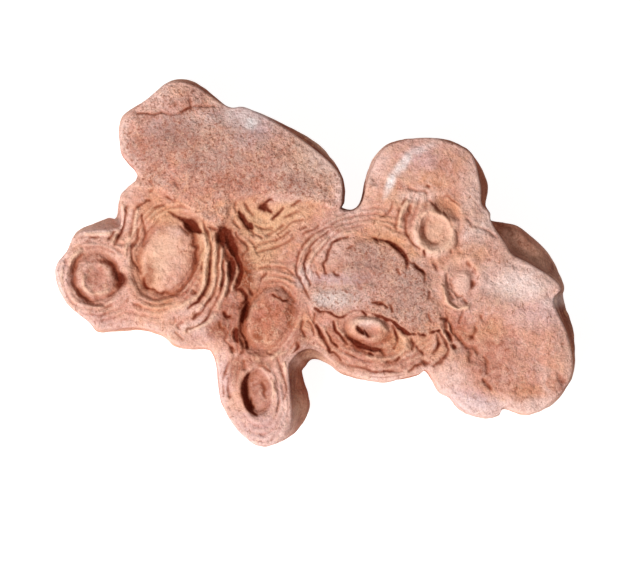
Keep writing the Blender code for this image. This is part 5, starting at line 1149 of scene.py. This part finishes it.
def wall_shown(drop, shaded_side, shelf, above, worn, last):
    """What one row of the wall shows, from how far it lies below the rim and what the rim shows."""
    # The painted shade of the shaded side: full a little below the rim, then fading down the wall.
    shade = soft_step(drop / SHADED_SIDE_EDGE) * (SHADED_SIDE_LEAST + (1 - SHADED_SIDE_LEAST) * np.exp(-drop / SHADED_SIDE_REACH))
    span = [open_side + shaded_side * (on_shaded_side - open_side) for open_side, on_shaded_side in zip(WALL_OPEN, WALL_SHADED_SIDE)]
    return dict.fromkeys(FACE_ONLY, 0.0) | {
        "ring": RING_CARRIED * above["ring"] + drop / BED_PITCH,
        "zone": BED_STRENGTH * soft_step(drop / BED_REACH),
        "plate": 0.0,
        # The beds' relief: painted shade where they are worn in, and a painted highlight where they stand
        # out.
        "relief": BED_RELIEF * worn,
        # The pale rim carried down the wall: partly wear and partly painted light.
        "rim": np.exp(-drop / RIM_PALE_DOWN),
        "wall": ramp(drop, span),
        "shaded_side": shaded_side * shade * (1 - SHADED_SIDE_OFF_SHELF * shelf),
        # The shelf's lighter colour, partly painted light on its upward face; none under the brown painted
        # shade.
        "shelf": shelf * (1 - above["brown"].clip(0.0, 1.0)),
        "base": float(last),
    }


def row_shown(above, own):
    """What a row shows: what the stone above it shows, but for its own values."""
    count = len(above["ring"])
    return above | {name: np.broadcast_to(value, (count,)).astype(float) for name, value in own.items()}


def face_sheet(rim, slab):
    """The face inside its rim: its points, the rim's first, its triangles, and what it shows."""
    points, gap = grid_inside(rim, slab.grid_step / MM, thinned=True)
    plan = np.vstack([rim, points])
    from_rim = np.concatenate([np.zeros(len(rim)), gap])
    x, y = plan[:, 0], plan[:, 1]
    height, shown = face_shown(x, y, slab)
    # The relief, which lays painted shade on low points and a painted highlight on raised ones.
    shown["relief"] = relief(x, y, height, slab, RELIEF_REACH)
    # Painted shade in spots that lie lower than the face round them.
    shown["sunk_shade"] = np.clip(-relief(x, y, height, slab, SUNK_SHADE_REACH) / SUNK_SHADE_DEPTH, 0.0, 1.0)
    # The pale rim: partly wear and partly painted light on the rounded edge.
    shown["rim"] = np.exp(-from_rim / RIM_PALE_REACH)
    for name in WALL_ONLY:
        shown[name] = np.zeros(len(plan))
    height -= slab.shoulder_drop / MM * np.exp(-from_rim / (slab.shoulder_reach / MM))
    return np.column_stack([plan, height]), sheet_faces(rim, points), shown


def wall_courses(outline, ledge, normals, top, at_rim, slab):
    """Each row of the wall, from the face down to the base: its points, and what it shows."""
    along = np.arange(len(outline)) * slab.wall_step / MM
    # How far each station faces away from the key light, or lies under the brown painted shade at the rim:
    # there the wall is painted in shade.
    shaded_side = np.clip(np.maximum(-normals @ SHADED_SIDE_FACING, at_rim["brown"]), 0.0, 1.0)
    rows = wall_rows(top, ledge, slab)
    for number, (inset, level) in enumerate(rows, 1):
        course = outline + (inset + wall_shift(along, level, top))[:, None] * normals
        out = 1 - np.clip(inset / ledge, 0.0, 1.0)
        bell = np.exp(-(((out - SHELF_MIDDLE) / SHELF_SPREAD) ** 2))
        shelf = shelf_share(ledge) * bell * (level > 0.5 * top)
        level = level + shelf * layered_noise(course[:, 0], course[:, 1], SHELF_LUMPS)
        worn = wall_shift(along, level, top)
        own = wall_shown(top - level, shaded_side, shelf, at_rim, worn, number == len(rows))
        yield np.column_stack([course, level]), row_shown(at_rim, own)


def base_sheet(foot, slab):
    """The base inside its foot: its points, its triangles, numbered foot first, and what it shows."""
    inner, _ = grid_inside(foot, BASE_STEP)
    shown = face_shown(inner[:, 0], inner[:, 1], slab)[1]
    own = dict.fromkeys((*FACE_ONLY, *WALL_ONLY, "relief", "rim"), 0.0) | {"wall": 1.0, "base": 1.0}
    return np.column_stack([inner, np.zeros(len(inner))]), sheet_faces(foot, inner), row_shown(shown, own)


def slab_surface(slab):
    """Vertices, triangles, how many of the triangles are the base's, and the values that the stone shows.

    The face is a height over the plan, meshed on a staggered grid. The wall is a sheet whose two
    parameters are the way round the rim and the row down it, and the base closes it at z = 0.
    """
    curve = closed_curve(OUTLINE, slab.wall_step / MM)
    outline, ledge = curve[:, :2], curve[:, 2]
    normals = inward_normals(outline, slab.wall_step / MM)
    rim = outline + (ledge + slab.edge_radius / MM)[:, None] * normals
    face, faces, shown = face_sheet(rim, slab)
    levels, values, triangles = [face], [shown], [faces]
    station = np.arange(len(rim))
    at_rim = {name: value[station] for name, value in shown.items()}
    above, first = station, len(face)
    for course, row in wall_courses(outline, ledge, normals, face[station, 2], at_rim, slab):
        levels.append(course)
        values.append(row)
        below = first + station
        next_above, next_below = np.roll(above, -1), np.roll(below, -1)
        triangles.append(np.stack([above, next_above, below], axis=1))
        triangles.append(np.stack([next_above, next_below, below], axis=1))
        above, first = below, first + len(rim)
    base, base_faces, through = base_sheet(levels[-1][:, :2], slab)
    numbers = np.concatenate([above, first + np.arange(len(base))])
    levels.append(base)
    values.append(through)
    triangles.append(numbers[base_faces][:, ::-1])
    vertices = np.vstack(levels)
    vertices[:, :2] -= 0.5 * (vertices[:, :2].min(axis=0) + vertices[:, :2].max(axis=0))
    joined = {name: np.concatenate([row[name] for row in values]) for name in SHOWN}
    return vertices, np.vstack(triangles), len(base_faces), joined


def slab_mesh(slab):
    """The slab's surface as a mesh in metres, smooth but for the sawn base, with its stone's values."""
    vertices, triangles, base_count, shown = slab_surface(slab)
    mesh = bpy.data.meshes.new("StromatoliteSlab")
    mesh.from_pydata((vertices * MM).tolist(), [], triangles.tolist())
    smooth = np.ones(len(triangles), bool)
    smooth[-base_count:] = False
    mesh.polygons.foreach_set("use_smooth", smooth)
    for name, values in shown.items():
        layer = mesh.attributes.new(name, "FLOAT", "POINT")
        layer.data.foreach_set("value", values.astype(np.float32))
    mesh.update()
    return mesh


def math_method(name, reflected=False):
    """A method that adds one Math node of a wire and another value, the other one first if reflected."""

    def apply(wire, other):
        return wire.math(name, other, wire) if reflected else wire.math(name, wire, other)

    return apply


class Wire:
    """An output socket that takes part in arithmetic: each operator adds one Math node."""

    def __init__(self, board, socket):
        self.board = board
        self.socket = socket

    def math(self, operation, *values, clamp=False):
        """Adds a Math node of one or two values."""
        settings = {"operation": operation, "use_clamp": clamp}
        return self.board.node("ShaderNodeMath", settings, dict(enumerate(values)))

    __add__ = math_method("ADD")
    __radd__ = math_method("ADD", reflected=True)
    __sub__ = math_method("SUBTRACT")
    __rsub__ = math_method("SUBTRACT", reflected=True)
    __mul__ = math_method("MULTIPLY")
    __rmul__ = math_method("MULTIPLY", reflected=True)
    __truediv__ = math_method("DIVIDE")
    __rtruediv__ = math_method("DIVIDE", reflected=True)

    def sine(self):
        """The sine of the value, in radians."""
        return self.math("SINE", self)

    def clamped(self):
        """The value held between 0 and 1."""
        return self.math("ADD", self, 0.0, clamp=True)

    def above(self, edge, width):
        """0 where the value is under the edge, rising to 1 over the width."""
        return ((self - edge) / width).clamped()


class Board:
    """The node tree of one material, built up from an empty tree."""

    def __init__(self, name):
        self.material = bpy.data.materials.new(name)
        self.material.use_nodes = True
        self.tree = self.material.node_tree
        self.tree.nodes.clear()

    def node(self, kind, settings, values, output=0):
        """Adds a node, its settings first and then each socket's value or link, and gives one output."""
        made = self.tree.nodes.new(kind)
        for name, setting in settings.items():
            setattr(made, name, setting)
        for key, value in values.items():
            socket = made.inputs[key]
            if isinstance(value, Wire):
                self.tree.links.new(value.socket, socket)
            else:
                socket.default_value = value
        return Wire(self, made.outputs[output]) if made.outputs else None

    def shown(self, name):
        """One of the mesh's own values."""
        return self.node("ShaderNodeAttribute", {"attribute_name": name}, {}, "Fac")

    def noise(self, place, scale, detail, roughness, distortion):
        """Noise in three dimensions, around 0.5."""
        names = ("Vector", "Scale", "Detail", "Roughness", "Distortion")
        values = dict(zip(names, (place, scale, detail, roughness, distortion)))
        return self.node("ShaderNodeTexNoise", {"noise_dimensions": "3D"}, values, "Fac")

    def drawn_out(self, place, scales, *pattern):
        """Noise with each axis scaled: drawn out by a scale under 1, and pressed together by one over 1."""
        scaled = self.node("ShaderNodeVectorMath", {"operation": "MULTIPLY"}, {0: place, 1: scales})
        return self.noise(scaled, *pattern)

    def mix(self, factor, first, second, blend="MIX"):
        """A colour between two, by a factor held between 0 and 1."""
        settings = {"data_type": "RGBA", "blend_type": blend, "clamp_factor": True}
        return self.node("ShaderNodeMix", settings, {0: factor, 6: first, 7: second}, 2)


class Paint:
    """A colour that is laid on coat by coat."""

    def __init__(self, board, colour):
        self.board = board
        self.colour = colour

    def coat(self, share, tint):
        """Lays a plain colour or a wire's over what is there, by its share."""
        over = tint if isinstance(tint, Wire) else opaque(tint)
        self.colour = self.board.mix(share, self.colour, over)


def opaque(colour):
    """A colour with an alpha of 1."""
    return (*colour, 1.0)


def ground_coats(paint, seen, stone):
    """The clouds, the stains and the pale rim, partly wear and partly painted light, broken up by mottling,
    flakes and flecks.
    """
    cloud, patch, mottle = seen["cloud"], seen["patch"], seen["mottle"]
    paint.coat(cloud.above(0.50, 0.16) * 0.45, stone.ochre)
    paint.coat((1.0 - cloud).above(0.54, 0.16) * 0.4, stone.rose)
    # The brown tint is laid in umber, partly as stain and partly as painted shade.
    for name, tint in (
        ("ochre", stone.ochre), ("sand", stone.sand), ("rose", stone.rose), ("lilac", stone.lilac),
        ("ash", stone.ash), ("plum", stone.plum), ("rust", stone.rust), ("brown", stone.umber),
    ):
        paint.coat(seen[name] * (0.45 + 1.15 * patch), tint)
    # The pale rim: partly wear and partly painted light on the rounded edge.
    paint.coat(seen["rim"] * patch * 0.8, stone.rose)
    paint.coat(mottle.above(0.47, 0.12) * seen["rust"] * 0.8, stone.umber)
    paint.coat(mottle.above(0.50, 0.16) * (0.26 + 0.2 * seen["plate"]), stone.umber)
    paint.coat(seen["flake"].above(0.53, 0.12) * 0.34, stone.buff)
    paint.coat(seen["fleck"].above(0.64, 0.05) * 0.55, stone.umber)
    paint.coat(seen["plate"] * patch.above(0.44, 0.24) * 0.5, stone.ash)


def wall_coats(paint, seen, stone):
    """The wall, streaked along its beds and painted in shade on the side turned from the key light, then
    the shelf, painted lighter as light on it, and the base.
    """
    patch, mottle, shaded_side, shelf = seen["patch"], seen["mottle"], seen["shaded_side"], seen["shelf"]
    dark, pale = opaque(stone.wall_dark), opaque(stone.wall_pale)
    beds = paint.board.mix(seen["streak"].above(0.40, 0.24), dark, pale)
    # Painted shade: the dark beds show more on the side turned from the key light, which is laid in dark
    # red and spotted with ochre.
    paint.coat(seen["wall"] * (1.0 - seen["base"]) * (0.6 + 0.3 * shaded_side), beds)
    paint.coat(shaded_side, stone.painted_shade_red)
    paint.coat((0.5 * mottle + 0.5 * patch).above(0.52, 0.07) * shaded_side * 0.4, stone.ochre)
    # The shelf: tan laid strongly, partly painted light on its upward face, then mottled.
    paint.coat(shelf * (0.3 + 1.4 * patch), stone.tan)
    paint.coat(shelf * mottle.above(0.48, 0.14) * 0.6, stone.umber)
    sawn = paint.board.mix(0.35 + 0.25 * patch, paint.colour, opaque(stone.rose))
    paint.coat(seen["base"], sawn)
    paint.coat(seen["chalk"] * (0.2 + 1.3 * patch), stone.chalk)


def form_coats(paint, seen, stone):
    """Painted shade in the moats, the sunk spots, beside and in the grooves and on low points, a painted
    highlight on raised points, and pale on the crests.
    """
    patch = seen["patch"]
    # Partly painted shade: the moats' orange-brown, stronger where they are deeper.
    paint.coat(seen["moat"] * (0.25 + 0.9 * patch) * 0.62, stone.moat)
    # Painted shade in the sunk spots and beside the grooves.
    paint.coat(seen["sunk_shade"] * 0.3, stone.umber)
    paint.coat(seen["shade"] * 0.15, stone.umber)
    # Painted shade on points lower than those round them, and a painted highlight on raised ones.
    paint.coat((seen["relief"] * -1.1).clamped() * 0.5, stone.umber)
    paint.coat((seen["relief"] * 1.1).clamped() * 0.34, stone.buff)
    paint.coat(seen["crest"] * (0.35 + 0.55 * patch), stone.buff)
    # Painted shade in the grooves: brown, and dark red in the deepest.
    ragged = (seen["hollow"] * (0.7 + 0.6 * seen["mottle"])).clamped()
    paint.coat((ragged * 2.0).clamped() * 0.66, stone.umber)
    paint.coat((ragged * 1.8 - 0.75).clamped() * 0.9, stone.painted_shade_red)


def stone_material(stone):
    """Pink bedded stone: blotches and grain over stains, painted shade in its hollows, and dark along its
    laminae.
    """
    board = Board("Stone")
    place = board.node("ShaderNodeTexCoord", {}, {}, "Object")
    seen = {name: board.noise(place, *pattern) for name, pattern in PATTERNS.items()}
    seen["fleck"] = board.drawn_out(place, *FLECKS)
    seen["streak"] = board.drawn_out(place, *STREAKS)
    for name, (scale, *rest) in GRAINS.items():
        seen[name] = board.noise(place, scale / stone.grain_size, *rest)
    seen.update((name, board.shown(name)) for name in SHOWN)
    patch, grain, crumb = seen["patch"], seen["grain"], seen["crumb"]
    ground = board.mix(seen["blotch"].above(0.36, 0.28), opaque(stone.pink), opaque(stone.tan))
    paint = Paint(board, ground)
    ground_coats(paint, seen, stone)

    # The laminae: a soft dark line each, and a finer one between.
    turn = seen["ring"] * (2 * math.pi) + (patch - 0.5) * 3.0
    line = (0.0 - turn.sine()).above(0.15, 0.8)
    fine = (turn * 2.0 + 1.1).sine().above(0.3, 0.7)
    paint.coat((line * 0.6 + fine * 0.22) * seen["zone"] * 0.6, stone.rust)
    wall_coats(paint, seen, stone)
    form_coats(paint, seen, stone)

    # The sand grains: dark pits between pale crystals, fainter on the worn domes.
    coarse = 1.0 - 0.6 * seen["silk"]
    paint.coat(crumb.above(0.52, 0.12) * (0.22 + 0.5 * seen["plate"]) * coarse, stone.pit)
    contrast = stone.grain_contrast * (0.75 + 0.35 * seen["plate"]) * coarse
    speckle = 1.0 + contrast * (grain - 0.5)
    tone = board.node("ShaderNodeCombineColor", {}, {0: speckle, 1: speckle, 2: speckle})
    colour = board.mix(1.0, paint.colour, tone, "MULTIPLY")

    lines = (line + fine * 0.6) * seen["zone"] * -0.35
    bumps = (grain * 0.7 + crumb * 0.9) * coarse + seen["mottle"] * 2.0 + patch * 1.6 + lines
    bump_values = {"Strength": 1.0, "Distance": stone.grain_relief, "Height": bumps}
    surface = {
        "Base Color": colour,
        "Roughness": (0.78 + 0.2 * grain).clamped(),
        "Metallic": 0.0,
        "Specular IOR Level": SHEEN,
        "Normal": board.node("ShaderNodeBump", {}, bump_values),
    }
    shader = board.node("ShaderNodeBsdfPrincipled", {}, surface)
    board.node("ShaderNodeOutputMaterial", {}, {"Surface": shader})
    return board.material


def floor_material(stage):
    """A plain white table that gives off a little light, so that it stays even."""
    board = Board("Table")
    values = {
        "Base Color": opaque(stage.floor_colour),
        "Roughness": 0.9,
        "Emission Color": opaque((1.0, 1.0, 1.0)),
        "Emission Strength": stage.floor_glow,
    }
    shader = board.node("ShaderNodeBsdfPrincipled", {}, values)
    board.node("ShaderNodeOutputMaterial", {}, {"Surface": shader})
    return board.material


def placed(name, data):
    """A new object of the scene."""
    made = bpy.data.objects.new(name, data)
    bpy.context.scene.collection.objects.link(made)
    return made


def length_setting(name, description, default):
    """A setting that is a length, in metres."""
    return FloatProperty(name=name, description=description, default=default, unit="LENGTH")


def share_setting(name, description, default):
    """A setting that is a share of something."""
    return FloatProperty(name=name, description=description, default=default, subtype="FACTOR")


def number_setting(name, description, default):
    """A setting without a unit."""
    return FloatProperty(name=name, description=description, default=default)


def colour_setting(name, description, default):
    """A setting that is a colour."""
    return FloatVectorProperty(name=name, description=description, default=default, subtype="COLOR")


class SlabSettings(bpy.types.PropertyGroup):
    """The sizes of the slab."""

    groove_share: share_setting("Groove depth", "Depth of the grooves, as a share of the full depth", 0.8)
    face_height: length_setting("Face height", "Height of the face above the base", 0.038)
    widest_share: share_setting("Widest at", "Where the wall is widest, as a share of its height", 0.5)
    base_tuck: length_setting("Base tuck", "How far the base stands in from the widest line", 0.0045)
    edge_radius: length_setting("Edge radius", "Radius of the worn edge of the face", 0.0014)
    shoulder_drop: length_setting("Shoulder drop", "How far the face sinks towards its rim", 0.0017)
    shoulder_reach: length_setting("Shoulder reach", "How far in from the rim the face sinks", 0.006)
    lamina_pitch: length_setting("Lamina pitch", "Distance from one lamina to the next", 0.0023)
    lamina_rise: length_setting("Lamina rise", "How far a lamina stands up", 0.0003)
    grid_step: length_setting("Face grid", "Distance between the points along a groove", 0.00035)
    wall_step: length_setting("Wall grid", "Distance between the stations of the wall", 0.00095)


class StoneSettings(bpy.types.PropertyGroup):
    """The colours and the grain of the stone."""

    pink: colour_setting("Pink", "Ground colour of the stone", linear(210, 146, 128))
    tan: colour_setting("Tan", "Its warmer blotches", linear(220, 162, 138))
    ochre: colour_setting("Ochre", "Orange of the heads", linear(226, 160, 118))
    rust: colour_setting("Rust", "Red of the stains and the laminae", linear(172, 94, 72))
    # Rose is also laid along the rim, partly as wear and partly as painted light.
    rose: colour_setting("Rose", "Pale pink of the worn edges", linear(244, 210, 200))
    sand: colour_setting("Sand", "Yellow-brown between the heads", linear(230, 180, 142))
    lilac: colour_setting("Lilac", "Violet bloom", linear(214, 176, 178))
    ash: colour_setting("Ash", "Grey bloom of the plates", linear(200, 170, 158))
    plum: colour_setting("Plum", "Dark purple-grey of the plates", linear(164, 118, 108))
    # Buff is also laid as a painted highlight on raised points.
    buff: colour_setting("Buff", "Pale tan of the ridges", linear(242, 198, 170))
    # Chalk: the white patches laid on the face.
    chalk: colour_setting("Chalk", "White scrapes", linear(246, 236, 234))
    # Orange-brown of the moats, partly laid as painted shade in them.
    moat: colour_setting("Moat", "Orange-brown of the moats round the heads", linear(172, 104, 74))
    umber: colour_setting("Umber", "Brown of the mottling and of the shaded steps", linear(150, 80, 54))
    pit: colour_setting("Pit", "Grey-brown of the pits between the grains", linear(146, 84, 62))
    # Painted shade: the dark red laid in the grooves and on the side of the wall turned from the key light.
    painted_shade_red: colour_setting("Iron", "Dark red of the hollows", linear(90, 22, 8))
    wall_dark: colour_setting("Wall, dark", "Dark beds of the wall", linear(138, 72, 46))
    wall_pale: colour_setting("Wall, pale", "Pale beds of the wall", linear(216, 150, 120))
    grain_size: length_setting("Grain size", "Size of the sand grains", 0.0007)
    grain_contrast: number_setting("Grain contrast", "How much darker and paler the grains are", 1.3)
    grain_relief: length_setting("Grain relief", "How far the grains stand up", 0.00035)


class StageSettings(bpy.types.PropertyGroup):
    """The floor, the lights and the camera."""

    floor_colour: colour_setting("Floor", "Colour of the floor", (0.4, 0.4, 0.4))
    floor_glow: number_setting("Floor glow", "Light that the floor gives off", 0.92)
    floor_size: length_setting("Floor size", "Length of the floor's side", 6.0)
    key_power: FloatProperty(
        name="Key light", description="Power of the soft key light", default=52.0, unit="POWER"
    )
    key_size: length_setting("Key size", "Side of the soft key light", 0.88)
    sky_colour: colour_setting("Sky", "Colour of the even light", (1.0, 0.92, 0.88))
    sky_light: number_setting("Sky light", "Even light from all round", 0.27)
    lens: number_setting("Lens", "Focal length of the camera in millimetres", 250.0)
    frame_width: length_setting("Frame width", "Width of the picture at the slab's widest line", 0.256)


class StromatoliteSlab(bpy.types.Operator):
    """Make the slab of stromatolite, with its stone."""

    bl_idname = "mesh.stromatolite_slab"
    bl_label = "Stromatolite slab"

    def execute(self, context):
        mesh = slab_mesh(context.scene.slab_settings)
        slab = placed("StromatoliteSlab", mesh)
        mesh.materials.append(stone_material(context.scene.stone_settings))
        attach(slab, BODY)
        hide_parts(NODE)
        return {"FINISHED"}


class StromatoliteStage(bpy.types.Operator):
    """Set the floor, the lights and the camera."""

    bl_idname = "scene.stromatolite_stage"
    bl_label = "Stage"

    def execute(self, context):
        stage = context.scene.stage_settings
        half = 0.5 * stage.floor_size
        corners = [(x * half, y * half, FLOOR_LIFT) for x, y in ((-1, -1), (1, -1), (1, 1), (-1, 1))]
        mesh = bpy.data.meshes.new("Floor")
        mesh.from_pydata(corners, [], [(0, 1, 2, 3)])
        mesh.materials.append(floor_material(stage))
        placed("Floor", mesh)

        key = bpy.data.lights.new("KeyLight", "AREA")
        key.energy = stage.key_power
        key.size = stage.key_size
        key.color = KEY_COLOUR
        lamp = placed("KeyLight", key)
        lamp.location = KEY_PLACE
        lamp.rotation_euler = (-Vector(KEY_PLACE)).to_track_quat("-Z", "Y").to_euler()

        world = bpy.data.worlds.new("Studio")
        world.use_nodes = True
        background = world.node_tree.nodes["Background"]
        background.inputs["Color"].default_value = opaque(stage.sky_colour)
        background.inputs["Strength"].default_value = stage.sky_light
        context.scene.world = world
        context.scene.view_settings.view_transform = "Standard"

        camera = bpy.data.cameras.new("Camera")
        camera.lens = stage.lens
        camera.sensor_width = SENSOR_WIDTH
        camera.clip_end = FAR_CLIP
        slab = context.scene.slab_settings
        widest = slab.widest_share * slab.face_height
        distance = stage.frame_width * stage.lens / SENSOR_WIDTH
        eye = placed("Camera", camera)
        eye.location = (FRAME_CENTRE[0] * MM, FRAME_CENTRE[1] * MM, widest + distance)
        context.scene.camera = eye
        return {"FINISHED"}


class StromatolitePanel(bpy.types.Panel):
    """Lists the slab's settings and what makes it."""

    bl_idname = "VIEW3D_PT_stromatolite"
    bl_label = "Stromatolite"
    bl_space_type = "VIEW_3D"
    bl_region_type = "UI"
    bl_category = "Stromatolite"

    def draw(self, context):
        scene = context.scene
        for operator, groups in (
            (StromatoliteSlab, (scene.slab_settings, scene.stone_settings)),
            (StromatoliteStage, (scene.stage_settings,)),
        ):
            box = self.layout.box()
            box.operator(operator.bl_idname)
            for group in groups:
                for name in group.__annotations__:
                    box.prop(group, name)


SETTINGS = {
    "slab_settings": SlabSettings,
    "stone_settings": StoneSettings,
    "stage_settings": StageSettings,
}
CLASSES = (*SETTINGS.values(), StromatoliteSlab, StromatoliteStage, StromatolitePanel)


def register():
    for made in CLASSES:
        bpy.utils.register_class(made)
    for name, group in SETTINGS.items():
        setattr(bpy.types.Scene, name, PointerProperty(type=group))


def unregister():
    for name in SETTINGS:
        delattr(bpy.types.Scene, name)
    for made in reversed(CLASSES):
        bpy.utils.unregister_class(made)


def main():
    register()
    bpy.ops.mesh.stromatolite_slab()
    bpy.ops.scene.stromatolite_stage()


if __name__ == "__main__":
    main()
